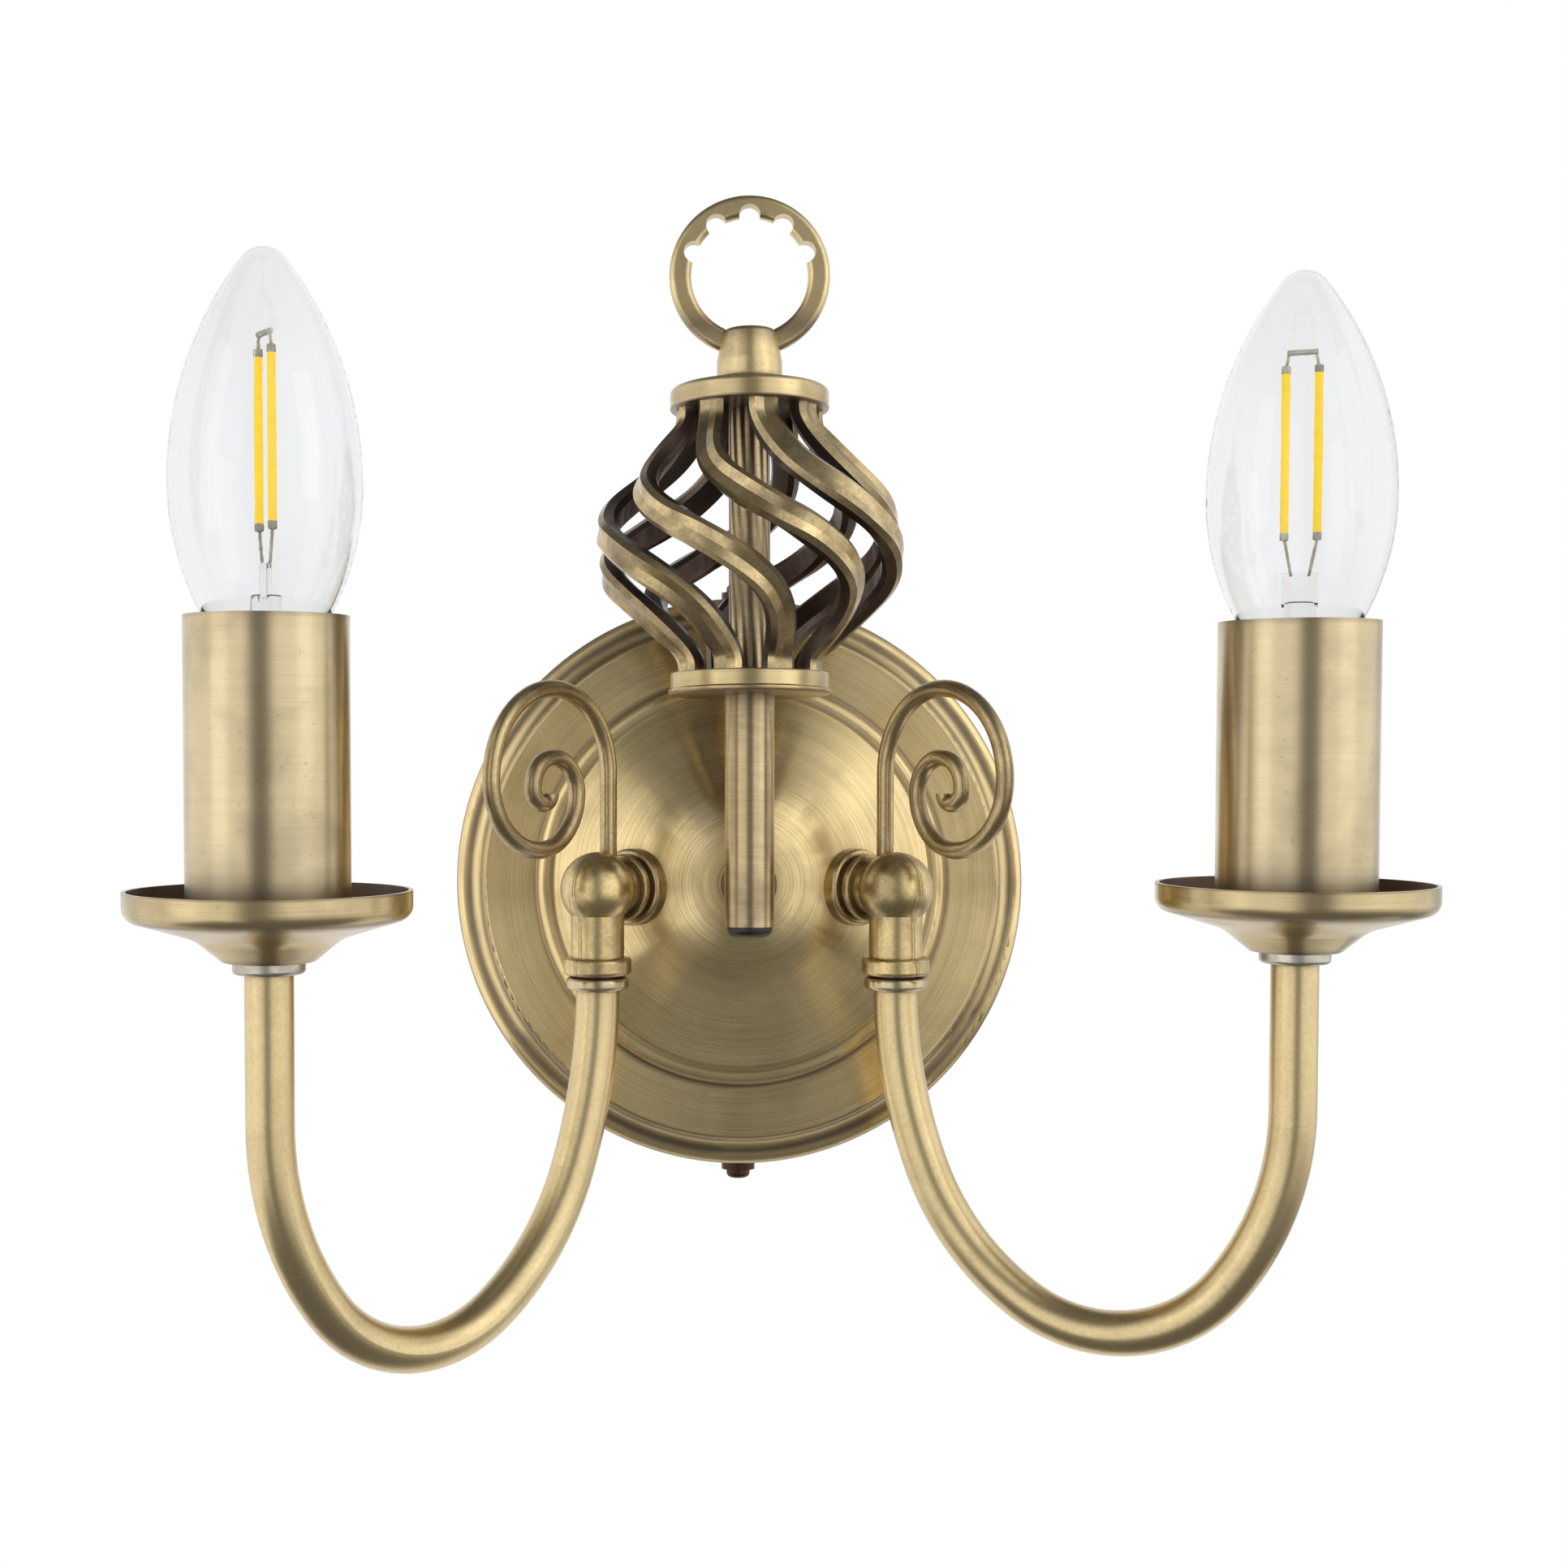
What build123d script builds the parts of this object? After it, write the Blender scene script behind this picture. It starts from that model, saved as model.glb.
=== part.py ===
from build123d import *
import os
from math import acos, cos, degrees, pi, radians, sin, sqrt, tan

os.makedirs("parts", exist_ok=True)

# Double arm wall sconce: a domed back plate carries a column with a twisted cage and a ring finial,
# and two cast elbows, each with a wire scroll, a swivelling J arm, a drip pan and a candle lamp.
# Millimetres. The origin is the centre of the back plate on the wall, +Z is up, the lamp faces -Y.

# Driving dimensions: clearances
fit_gap = 0.05  # radial clearance of parts that are assembled and stay put, and of the arm swivel
seat_gap = 0.1  # between faces that only rest near each other
turn_gap = 0.3  # between faces that move past each other

# Driving dimensions: back plate, a spun sheet with a coved rim, a flat band and a steep dome
plate_radius = 62.5
plate_wall = 1.0
rim_depth = 12.0
rim_bead_radius = 2.2
cove_radius = 3.4
ridge_radius = 1.2
cove_wall_inset = 5.9
band_depth = 16.7
band_width = 12.2
dome_foot_depth = 19.4
dome_foot_round = 2.0
crease_radius = 0.5
dome_foot_width = 3.8
dome_slope = 37.0
dome_crown_radius = 26.0
dome_flat_radius = 6.0

# Driving dimensions: wall bracket and its hardware
strap_width = 16.0
strap_wall = 1.5
strap_bend = 2.2
tab_depth = 9.5
wall_screw_spacing = 60.0
wall_screw_hole_radius = 2.25
plate_screw_depth = 5.0
plate_screw_radius = 1.45
plate_screw_head_radius = 2.6
plate_screw_head_height = 2.0
plate_screw_length = 7.0
plate_washer_radius = 3.7
plate_washer_thickness = 1.8
terminal_pitch = 8.0
terminal_count = 3
terminal_radius = 3.9
terminal_height = 10.0
terminal_width = 13.0
terminal_place = 11.0
terminal_wire_radius = 1.4
terminal_screw_radius = 1.5
terminal_screw_length = 3.6
earth_screw_radius = 2.0
earth_head_radius = 3.6
earth_head_height = 2.2
earth_screw_place = -12.0

# Driving dimensions: column, collars and finial
column_axis_depth = 53.0
column_radius = 5.0
column_wall = 0.8
column_bottom = -8.4
plug_height = 2.0
plug_insert = 3.0
plug_rim = 0.4
spacer_radius = 5.75
spacer_wrap = 2.0
column_bolt_radius = 2.0
column_bolt_head_radius = 3.8
column_bolt_head_height = 2.4
core_bottom = -5.0
core_top = 34.0
tie_rod_radius = 2.5
tie_rod_grip = 9.0
collar_radius = 16.0
collar_height = 4.3
collar_round = 1.2
collar_lip = 0.4
collar_lip_height = 1.1
lower_collar_bottom = 38.3
cage_tube_radius = 4.15
finial_washer_radius = 8.5
finial_washer_height = 1.9
boss_radius = 6.6
boss_top_radius = 5.5
boss_straight = 3.4
boss_height = 10.0
ring_centre_height = 20.9
ring_outer_radius = 16.2
ring_inner_radius = 11.8
ring_thickness = 3.2
ring_round = 1.2
notch_radius = 2.1
notch_count = 5
notch_pitch = 33.7
notch_centre_radius = 12.1
finial_rod_depth = 6.5

# Driving dimensions: twisted cage
cage_bars = 8
cage_height = 53.0
cage_foot_radius = 14.7
cage_belly_radius = 31.5
cage_fullness = 0.7
cage_sag = 1.07
cage_twist = 105.0
cage_ease = 0.6
cage_first_foot = 8.6
cage_pad = 2.0
cage_spans = 10
bar_width = 5.8
bar_thickness = 4.0
bar_chamfer = 1.0
bar_hollow = 0.4

# Driving dimensions: elbows
seat_radius = 23.3
seat_drop_angle = 2.0
spigot_reach = 12.5
droop = 2.5
ball_radius = 7.7
neck_radius = 5.5
neck_length = 14.0
neck_ring_radius = 7.0
neck_ring_height = 3.7
neck_ring_round = 0.9
flange_radius = 8.1
flange_thickness = 2.4
groove_radius = 6.2
groove_width = 1.1
spigot_ring_radius = 7.0
spigot_ring_width = 1.6
spigot_radius = 5.6
casting_round = 0.5
wire_way_radius = 3.0
socket_top = -5.0
nipple_radius = 4.0
nipple_bore = 2.8
nipple_grip = 5.0
nipple_tail = 6.5
nut_size = 11.0
nut_thickness = 3.0
nut_washer_radius = 7.0
nut_washer_thickness = 1.0

# Driving dimensions: scroll wire
scroll_wire_radius = 1.75
scroll_inset = 3.5
scroll_pin = 3.0
scroll_stem_top = 23.9
scroll_curls = (17.2, 18.2, 14.2, 11.2, 7.3, 6.0, 3.2, 2.0)  # radius of each quarter turn

# Driving dimensions: arms, bent from tube, and what each arm carries
arm_radius = 4.5
arm_wall = 1.0
arm_straight = 20.0
arm_bends = ((102.3, 21.3), (53.5, 35.4), (29.9, 85.3), (58.7, 38.0))  # radius and angle in turn
arm_riser = 30.1
arm_collar_radius = 6.5
arm_collar_height = 2.8
arm_collar_round = 1.1
ferrule_radius = 6.65
ferrule_height = 2.2
ferrule_round = 0.8
pan_radius = 26.2
pan_wall = 0.8
pan_depth = 13.0
pan_corner_depth = 4.9
pan_corner_round = 2.8
pan_waist_radius = 13.6
pan_waist_depth = 8.7
pan_waist_round = 8.0
pan_foot_radius = 8.4
pan_foot_round = 1.2
holder_nipple_radius = 3.45
holder_nipple_bore = 2.4
holder_nipple_grip = 9.0
holder_nipple_tail = 7.0
candle_radius = 15.0
candle_wall = 0.5
candle_top = 49.7
holder_radius = 13.4
holder_foot_radius = 7.6
holder_foot_height = 5.0
holder_below_neck = 2.0
holder_floor = 14.0
holder_bore = 7.35
shell_wall = 0.35
shell_bottom = 19.0
shell_below_rim = 2.0
tongue_width = 4.0

# Driving dimensions: candle bulb with a small screw cap, heights from the pan's rim
bulb_neck_height = 40.5
bulb_neck_radius = 7.4
bulb_belly_height = 73.4
bulb_belly_radius = 17.5
bulb_lower_curve = 50.5
bulb_upper_curve = 67.1
bulb_tip_round = 5.1
bulb_wall = 0.8
cap_radius = 6.6
cap_wall = 0.4
cap_bottom = 20.5
cap_cover = 1.5
cap_step = 1.0
cap_base_slope = 1.2
cap_base_wall = 2.0
insulator_radius = 4.6
insulator_bottom = 18.9
pip_radius = 2.4
pip_height = 1.2
stem_radius = 2.9
stem_flare_height = 4.0
stem_set_in = 0.5
stem_top = 53.5
pinch_top = 59.0
pinch_width = 6.6
pinch_thickness = 1.8
pinch_root = 1.0
pinch_round = 0.7
filament_bottom = 65.5
filament_top = 97.5
filament_radius = 0.85
filament_spacing = 6.0
lead_radius = 0.3
bridge_height = 100.5
bridge_radius = 0.8

# Each side as photographed: which way it lies, how far its scroll and its arm are swung out from
# straight ahead, and how its bulb is turned
sides = {
    "left": {"hand": -1, "scroll_swing": 39.5, "swing": 47.5, "filament_turn": 50.0},
    "right": {"hand": 1, "scroll_swing": 34.0, "swing": 64.5, "filament_turn": 5.0},
}

# Sizes that follow
cove_wall_radius = plate_radius - cove_wall_inset
dome_foot_wall_radius = cove_wall_radius - band_width
dome_foot_radius = dome_foot_wall_radius - dome_foot_width
dome_crown_edge = dome_crown_radius * tan(radians(dome_slope) / 2)
dome_top_corner = dome_flat_radius + dome_crown_edge
dome_depth = dome_foot_depth + (dome_foot_radius - dome_top_corner) * tan(radians(dome_slope))
seat_depth = dome_depth - (seat_radius - dome_top_corner) * tan(radians(dome_slope))
skirt_inner_radius = plate_radius - plate_wall
tab_place = sqrt(skirt_inner_radius**2 - (strap_width / 2) ** 2) - seat_gap
lower_collar_top = lower_collar_bottom + collar_height
cage_top = lower_collar_top + cage_height
upper_collar_top = cage_top + collar_height
finial_bottom = upper_collar_top + finial_washer_height
column_bore = column_radius - column_wall
arm_bore = arm_radius - arm_wall
pan_hole = holder_nipple_radius + fit_gap
pan_floor = -pan_depth + pan_wall
screw_gap = fit_gap + 0.1
holder_top = bulb_neck_height - holder_below_neck
shell_top = holder_top - shell_below_rim
cap_top = bulb_neck_height + cap_cover
stem_bottom = bulb_neck_height + stem_set_in

FORWARD = Rot(X=90)  # stands a solid turned about +Z on the wall, with its height towards -Y
column_place = Pos(0, -column_axis_depth, 0)


def turned(corners, radii):
    """Solid of revolution about Z from (radius, height) corners, each rounded by its own radius."""
    outline = FilletPolyline(*corners, radius=radii, close=True)
    return Rot(X=90) * revolve(make_face(outline), Axis.Y)


def ring(outer, inner, bottom, top):
    """Plain ring or tube about Z."""
    return Pos(0, 0, bottom) * extrude(Circle(outer) - Circle(inner), top - bottom)


def rod(radius, bottom, top):
    """Plain cylinder about Z."""
    return Pos(0, 0, bottom) * extrude(Circle(radius), top - bottom)


def inset_corners(corners, wall):
    """Corners of the line that lies one wall to the left of a line of corners."""
    points = [Vector(*corner) for corner in corners]
    normals = []
    for start, end in zip(points, points[1:]):
        along = (end - start).normalized()
        normals.append(Vector(-along.Y, along.X))
    joined = [normals[0]]
    for before, after in zip(normals, normals[1:]):
        joined.append((before + after) / (1 + before.dot(after)))
    joined.append(normals[-1])
    return [point + shift * wall for point, shift in zip(points, joined)]


def sheet_section(corners, radii, wall):
    """Face of a bent sheet, with its wall on the left of the line and its radii on that line."""
    points = [Vector(*corner) for corner in corners]
    inner_radii = []
    for i, radius in enumerate(radii):
        turn = (points[i + 1] - points[i]).cross(points[i + 2] - points[i + 1]).Z
        inner_radii.append(radius - wall if turn > 0 else radius + wall)
    outer = FilletPolyline(*points, radius=radii)
    inner = FilletPolyline(*inset_corners(corners, wall), radius=inner_radii)
    ends = [Line(outer @ 0, inner @ 0), Line(outer @ 1, inner @ 1)]
    return make_face(outer.edges() + inner.edges() + ends)


def tube_along(path, radius):
    """Round bar swept along a path."""
    return sweep(Plane(origin=path @ 0, z_dir=path % 0) * Circle(radius), path=path)


def seat_normal(side):
    """Direction of one elbow's spigot, square to the dome."""
    drop = radians(seat_drop_angle)
    slope = radians(dome_slope)
    return Vector(side["hand"] * sin(slope) * cos(drop), -cos(slope), -sin(slope) * sin(drop))


def seat_point(side):
    """Where one elbow's spigot axis meets the dome's outer face."""
    drop = radians(seat_drop_angle)
    return Vector(side["hand"] * seat_radius * cos(drop), -seat_depth, -seat_radius * sin(drop))


def seat_plane(side):
    """Plane on the dome with its z axis along one elbow's spigot."""
    return Plane(origin=seat_point(side), z_dir=seat_normal(side))


def socket_frame(side, swing):
    """Frame at an elbow's ball: z up its socket axis, x outwards at a swing from straight ahead."""
    ball = seat_point(side) + seat_normal(side) * spigot_reach
    return Pos(*ball) * Rot(X=droop) * Rot(Z=side["hand"] * swing - 90)


# Back plate and wall bracket


def plate_outline():
    """(radius, depth) corners of the plate's outer face, from the wall inwards, with their radii."""
    corners = [
        (plate_radius, 0),
        (plate_radius, rim_depth),
        (cove_wall_radius, rim_depth),
        (cove_wall_radius, band_depth),
        (dome_foot_wall_radius, band_depth),
        (dome_foot_wall_radius, dome_foot_depth),
        (dome_foot_radius, dome_foot_depth),
        (dome_top_corner, dome_depth),
        (0, dome_depth),
    ]
    radii = [
        rim_bead_radius,
        cove_radius,
        ridge_radius,
        crease_radius,
        dome_foot_round,
        crease_radius,
        dome_crown_radius,
    ]
    return corners, radii


def plate_envelope():
    """The plate's outer shape filled down to the wall, which scribes what sits on it."""
    corners, radii = plate_outline()
    outer = FilletPolyline(*corners, radius=radii)
    base = [Line(outer @ 1, (0, 0)), Line((0, 0), outer @ 0)]
    return FORWARD * Rot(X=90) * revolve(make_face(outer.edges() + base), Axis.Y)


def make_back_plate():
    corners, radii = plate_outline()
    sheet = FORWARD * Rot(X=90) * revolve(sheet_section(corners, radii, plate_wall), Axis.Y)
    holes = [FORWARD * rod(column_bolt_radius + screw_gap, 0, dome_depth + plate_wall)]
    for side in sides.values():
        holes.append(seat_plane(side) * rod(nipple_radius + screw_gap, -nipple_tail, nipple_grip))
    screw_hole = rod(plate_screw_radius + screw_gap, -plate_radius - 1, plate_radius + 1)
    holes.append(Pos(0, -plate_screw_depth, 0) * screw_hole)
    return sheet - holes


def make_wall_bracket():
    corners = [(tab_place, tab_depth), (tab_place, 0), (-tab_place, 0), (-tab_place, tab_depth)]
    mirrored = [(-along, depth) for along, depth in corners]
    section = sheet_section(mirrored, [strap_bend, strap_bend], strap_wall)
    strap = extrude(section, strap_width / 2, both=True)
    strap = Rot(Y=-90) * Rot(X=180) * strap
    holes = []
    for end in (-1, 1):
        place = Pos(0, 0, end * wall_screw_spacing / 2)
        holes.append(place * FORWARD * rod(wall_screw_hole_radius, -1, tab_depth))
    tapped = rod(plate_screw_radius + fit_gap, -plate_radius, plate_radius)
    holes.append(Pos(0, -plate_screw_depth, 0) * tapped)
    earth = rod(earth_screw_radius + fit_gap, -1, tab_depth)
    holes.append(Pos(0, 0, earth_screw_place) * FORWARD * earth)
    return strap - holes


def make_plate_screws():
    head_bottom = plate_radius + plate_washer_thickness
    head_top = head_bottom + plate_screw_head_height
    corners = [
        (0, head_bottom - plate_screw_length),
        (plate_screw_radius, head_bottom - plate_screw_length),
        (plate_screw_radius, head_bottom),
        (plate_screw_head_radius, head_bottom),
        (plate_screw_head_radius, head_top),
        (0, head_top),
    ]
    screw = turned(corners, [0, 0.3, 0, 0, plate_screw_head_height * 0.6, 0])
    slot = Pos(0, 0, head_top) * Box(2 * plate_screw_head_radius, 0.8, 1.4)
    screw = Pos(0, -plate_screw_depth, 0) * (screw - slot)
    return [screw, Rot(Y=180) * screw]


def make_plate_screw_washers():
    top = plate_radius + plate_washer_thickness
    washer = ring(plate_washer_radius, plate_screw_radius + screw_gap, plate_radius, top)
    washer = Pos(0, -plate_screw_depth, 0) * washer
    return [washer, Rot(Y=180) * washer]


def terminal_centres():
    """Places of the terminals along X."""
    middle = (terminal_count - 1) / 2
    return [(i - middle) * terminal_pitch for i in range(terminal_count)]


def make_terminal_block():
    base_length = terminal_count * terminal_pitch
    block = Pos(0, 0, terminal_height / 4) * Box(base_length, terminal_width, terminal_height / 2)
    block = Pos(0, 0, seat_gap) * block
    for x in terminal_centres():
        block += Pos(x, 0, 0) * rod(terminal_radius, seat_gap, terminal_height)
    for x in terminal_centres():
        wire_way = Rot(X=90) * rod(terminal_wire_radius, -terminal_width, terminal_width)
        block -= Pos(x, 0, terminal_height / 4) * wire_way
        block -= Pos(x, 0, 0) * rod(terminal_screw_radius + fit_gap, terminal_height / 2, terminal_height)
    return Pos(0, -strap_wall, terminal_place) * FORWARD * block


def make_terminal_screws():
    screws = []
    top = terminal_height - 0.8
    for x in terminal_centres():
        screw = rod(terminal_screw_radius, top - terminal_screw_length, top)
        slot = Pos(0, 0, top) * Box(2 * terminal_screw_radius, 0.6, 1.0)
        screws.append(Pos(x, -strap_wall, terminal_place) * FORWARD * (screw - slot))
    return screws


def make_earth_screw():
    head_top = strap_wall + earth_head_height
    corners = [
        (0, 0.2),
        (earth_screw_radius, 0.2),
        (earth_screw_radius, strap_wall),
        (earth_head_radius, strap_wall),
        (earth_head_radius, head_top),
        (0, head_top),
    ]
    screw = turned(corners, [0, 0, 0, 0, earth_head_height * 0.6, 0])
    slot = Pos(0, 0, head_top) * Box(2 * earth_head_radius, 0.9, 1.6)
    return Pos(0, 0, earth_screw_place) * FORWARD * (screw - slot)


# Column, collars and finial


def make_column_spacer():
    front = column_axis_depth - column_radius + spacer_wrap
    body = FORWARD * ring(spacer_radius, column_bolt_radius + screw_gap, dome_depth, front)
    return body - column_place * rod(column_radius, -spacer_radius, spacer_radius)


def make_column_bolt():
    head_front = dome_depth - plate_wall
    shank = rod(column_bolt_radius, head_front, column_axis_depth)
    corners = [
        (0, head_front - column_bolt_head_height),
        (column_bolt_head_radius, head_front - column_bolt_head_height),
        (column_bolt_head_radius, head_front),
        (0, head_front),
    ]
    head = turned(corners, [0, column_bolt_head_height * 0.6, 0, 0])
    slot = Pos(0, 0, head_front - column_bolt_head_height) * Box(2 * column_bolt_head_radius, 1.0, 1.8)
    return FORWARD * (shank + head - slot)


def make_column_core():
    core = rod(column_bore - fit_gap, core_bottom, core_top)
    core -= rod(tie_rod_radius + fit_gap, core_top - tie_rod_grip, core_top)
    core = column_place * core
    return core - FORWARD * rod(column_bolt_radius + fit_gap, 0, column_axis_depth + fit_gap)


def make_column_tube():
    tube = column_place * ring(column_radius, column_bore, column_bottom, lower_collar_bottom)
    return tube - FORWARD * rod(column_bolt_radius + screw_gap, 0, column_axis_depth)


def make_column_plug():
    corners = [
        (0, plug_insert),
        (0, -plug_height),
        (column_radius - plug_rim, -plug_height),
        (column_radius - plug_rim, 0),
        (column_bore - fit_gap, 0),
        (column_bore - fit_gap, plug_insert),
    ]
    plug = turned(corners, [0, 0, plug_height * 0.8, 0, 0, 0])
    return column_place * Pos(0, 0, column_bottom) * plug


def make_lower_collar():
    hole = tie_rod_radius + fit_gap
    corners = [
        (hole, 0),
        (collar_radius + collar_lip, 0),
        (collar_radius + collar_lip, collar_lip_height),
        (collar_radius, collar_lip_height),
        (collar_radius, collar_height),
        (hole, collar_height),
    ]
    collar = turned(corners, [0, collar_lip_height / 2, collar_lip_height / 3, 0.2, 0.3, 0])
    return column_place * Pos(0, 0, lower_collar_bottom) * collar


def make_upper_collar():
    hole = tie_rod_radius + fit_gap
    corners = [(hole, 0), (collar_radius, 0), (collar_radius, collar_height), (hole, collar_height)]
    return column_place * Pos(0, 0, cage_top) * turned(corners, [0, 0.3, collar_round, 0])


def make_cage_tube():
    return column_place * ring(cage_tube_radius, tie_rod_radius + fit_gap, lower_collar_top, cage_top)


def make_tie_rod():
    top = finial_bottom + finial_rod_depth - turn_gap
    return column_place * rod(tie_rod_radius, core_top - tie_rod_grip + turn_gap, top)


def make_finial_washer():
    hole = tie_rod_radius + fit_gap
    corners = [
        (hole, 0),
        (finial_washer_radius, 0),
        (finial_washer_radius, finial_washer_height),
        (hole, finial_washer_height),
    ]
    washer = turned(corners, [0, 0, finial_washer_height * 0.6, 0])
    return column_place * Pos(0, 0, upper_collar_top) * washer


def make_finial():
    corners = [
        (0, 0),
        (boss_radius, 0),
        (boss_radius, boss_straight),
        (boss_top_radius, boss_height),
        (0, boss_height),
    ]
    boss = turned(corners, [0, 0, boss_straight, 1.2, 0])
    band = extrude(Circle(ring_outer_radius) - Circle(ring_inner_radius), ring_thickness / 2, both=True)
    band = fillet(band.edges(), ring_round)
    notch = extrude(Circle(notch_radius), ring_thickness, both=True)
    first = 90 - notch_pitch * (notch_count - 1) / 2
    for i in range(notch_count):
        band -= Rot(Z=first + i * notch_pitch) * Pos(notch_centre_radius, 0, 0) * notch
    finial = boss + Pos(0, 0, ring_centre_height) * Rot(X=90) * band
    finial -= rod(tie_rod_radius + fit_gap, -1, finial_rod_depth)
    return column_place * Pos(0, 0, finial_bottom) * finial


# Twisted cage


def bar_point(travel):
    """Centre line of one bar, from the upper collar at travel 0 to the lower collar at 1."""
    pad = cage_pad / cage_height
    bend = min(max((travel - pad) / (1 - 2 * pad), 0), 1)
    angle = radians(cage_twist) * (bend - cage_ease * sin(2 * pi * bend) / (2 * pi))
    swell = ((1 - cos(2 * pi * bend**cage_sag)) / 2) ** cage_fullness
    outer = cage_foot_radius + (cage_belly_radius - cage_foot_radius) * swell
    radius = outer - bar_thickness / 2
    return Vector(radius * sin(angle), -radius * cos(angle), -travel * cage_height)


def bar_plane(travel):
    """Plane across one bar, with x along its width and y outwards."""
    step = 0.004
    centre = bar_point(travel)
    along = Vector(0, 0, -1)
    if cage_pad / cage_height < travel < 1 - cage_pad / cage_height:
        along = (bar_point(travel + step) - bar_point(travel - step)).normalized()
    outwards = Vector(centre.X, centre.Y, 0).normalized()
    outwards = (outwards - along * outwards.dot(along)).normalized()
    return Plane(origin=centre, x_dir=outwards.cross(along), z_dir=along)


def bar_section():
    """Flat bar with broken corners and a slightly hollow outer face."""
    half = bar_width / 2
    rise = bar_thickness / 2
    points = [
        (-half + bar_chamfer, rise),
        (0, rise - bar_hollow),
        (half - bar_chamfer, rise),
        (half, rise - bar_chamfer),
        (half, -rise + bar_chamfer),
        (half - bar_chamfer, -rise),
        (-half + bar_chamfer, -rise),
        (-half, -rise + bar_chamfer),
        (-half, rise - bar_chamfer),
    ]
    return make_face(Polyline(*points, close=True))


def make_cage_bar():
    pad = cage_pad / cage_height
    travels = [0]
    for i in range(cage_spans + 1):
        travels.append(pad + (1 - 2 * pad) * i / cage_spans)
    travels.append(1)
    sections = [bar_plane(travel) * bar_section() for travel in travels]
    return Pos(0, 0, cage_top) * loft(sections)


# Elbows and scrolls


def make_elbow(side):
    upright = socket_frame(side, side["scroll_swing"])
    spigot = seat_plane(side)
    ring_top = -neck_length
    ring_corners = [
        (0, ring_top - neck_ring_height),
        (neck_ring_radius, ring_top - neck_ring_height),
        (neck_ring_radius, ring_top),
        (0, ring_top),
    ]
    groove_end = flange_thickness + groove_width
    ring_end = groove_end + spigot_ring_width
    spigot_corners = [
        (0, -flange_thickness),
        (flange_radius, -flange_thickness),
        (flange_radius, flange_thickness),
        (groove_radius, flange_thickness),
        (groove_radius, groove_end),
        (spigot_ring_radius, groove_end),
        (spigot_ring_radius, ring_end),
        (spigot_radius, ring_end),
        (spigot_radius, spigot_reach),
        (0, spigot_reach),
    ]
    spigot_radii = [0, 0, casting_round * 2, 0, 0, casting_round, casting_round, 0, 0, 0]
    elbow = upright * Sphere(ball_radius)
    elbow += upright * rod(neck_radius, ring_top - 1, 0)
    elbow += upright * turned(ring_corners, [0, neck_ring_round, neck_ring_round, 0])
    elbow += spigot * turned(spigot_corners, spigot_radii)
    elbow -= plate_envelope()
    elbow -= upright * rod(arm_radius + fit_gap, ring_top - neck_ring_height - 1, socket_top)
    elbow -= upright * rod(wire_way_radius, socket_top - 1, 0)
    elbow -= spigot * rod(wire_way_radius, 0, spigot_reach)
    elbow -= spigot * rod(nipple_radius + fit_gap, -1, nipple_grip)
    elbow -= upright * Pos(-scroll_inset, 0, 0) * rod(
        scroll_wire_radius + fit_gap, ball_radius - scroll_pin, 2 * ball_radius
    )
    return elbow


def make_scroll(side):
    start = (-scroll_inset, ball_radius - scroll_pin + seat_gap)
    edges = [Line(start, (-scroll_inset, scroll_stem_top))]
    for radius in scroll_curls:
        edges.append(JernArc(edges[-1] @ 1, edges[-1] % 1, radius, -90))
    wire = tube_along(Wire(edges), scroll_wire_radius)
    return socket_frame(side, side["scroll_swing"]) * Rot(X=90) * wire


def make_elbow_nipples():
    nipple = ring(nipple_radius, nipple_bore, -nipple_tail, nipple_grip - seat_gap)
    return [seat_plane(side) * nipple for side in sides.values()]


def inner_seat():
    """How far inside the dome's outer face a flat washer clears its curved inner face."""
    curve = seat_radius / sin(radians(dome_slope))
    return plate_wall + nut_washer_radius**2 / (2 * curve) + 1.5 * seat_gap


def make_elbow_washers():
    top = -inner_seat()
    washer = ring(nut_washer_radius, nipple_radius + fit_gap, top - nut_washer_thickness, top)
    return [seat_plane(side) * washer for side in sides.values()]


def make_elbow_nuts():
    top = -inner_seat() - nut_washer_thickness
    section = RegularPolygon(nut_size / 2, 6, major_radius=False) - Circle(nipple_radius + fit_gap)
    nut = Pos(0, 0, top - nut_thickness) * extrude(section, nut_thickness)
    return [seat_plane(side) * nut for side in sides.values()]


# Arms and what they carry, each in its side's arm frame


def arm_path(top):
    """Centre line of the J arm in (outwards, up), with its free end."""
    edges = [Line((0, top), (0, -arm_straight))]
    for radius, angle in arm_bends:
        edges.append(JernArc(edges[-1] @ 1, edges[-1] % 1, radius, angle))
    end = edges[-1] @ 1
    edges.append(Line(end, (end.X, end.Y + arm_riser)))
    return Wire(edges)


arm_end = arm_path(-ball_radius) @ 1
arm_reach = arm_end.X
pan_rim = arm_end.Y + pan_depth  # height of the pan's rim above the ball's centre


def make_arm_tube():
    path = arm_path(-ball_radius)
    tube = tube_along(path, arm_radius) - tube_along(path, arm_bore)
    return Rot(X=90) * tube


def make_arm_collar():
    top = -neck_length - neck_ring_height - turn_gap
    hole = arm_radius + fit_gap
    corners = [
        (hole, top - arm_collar_height),
        (arm_collar_radius, top - arm_collar_height),
        (arm_collar_radius, top),
        (hole, top),
    ]
    return turned(corners, [0, arm_collar_round, arm_collar_round, 0])


def make_pan_ferrule():
    hole = arm_radius + fit_gap
    corners = [
        (hole, -pan_depth - ferrule_height),
        (ferrule_radius, -pan_depth - ferrule_height),
        (ferrule_radius, -pan_depth),
        (hole, -pan_depth),
    ]
    return turned(corners, [0, ferrule_round, 0, 0])


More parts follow.
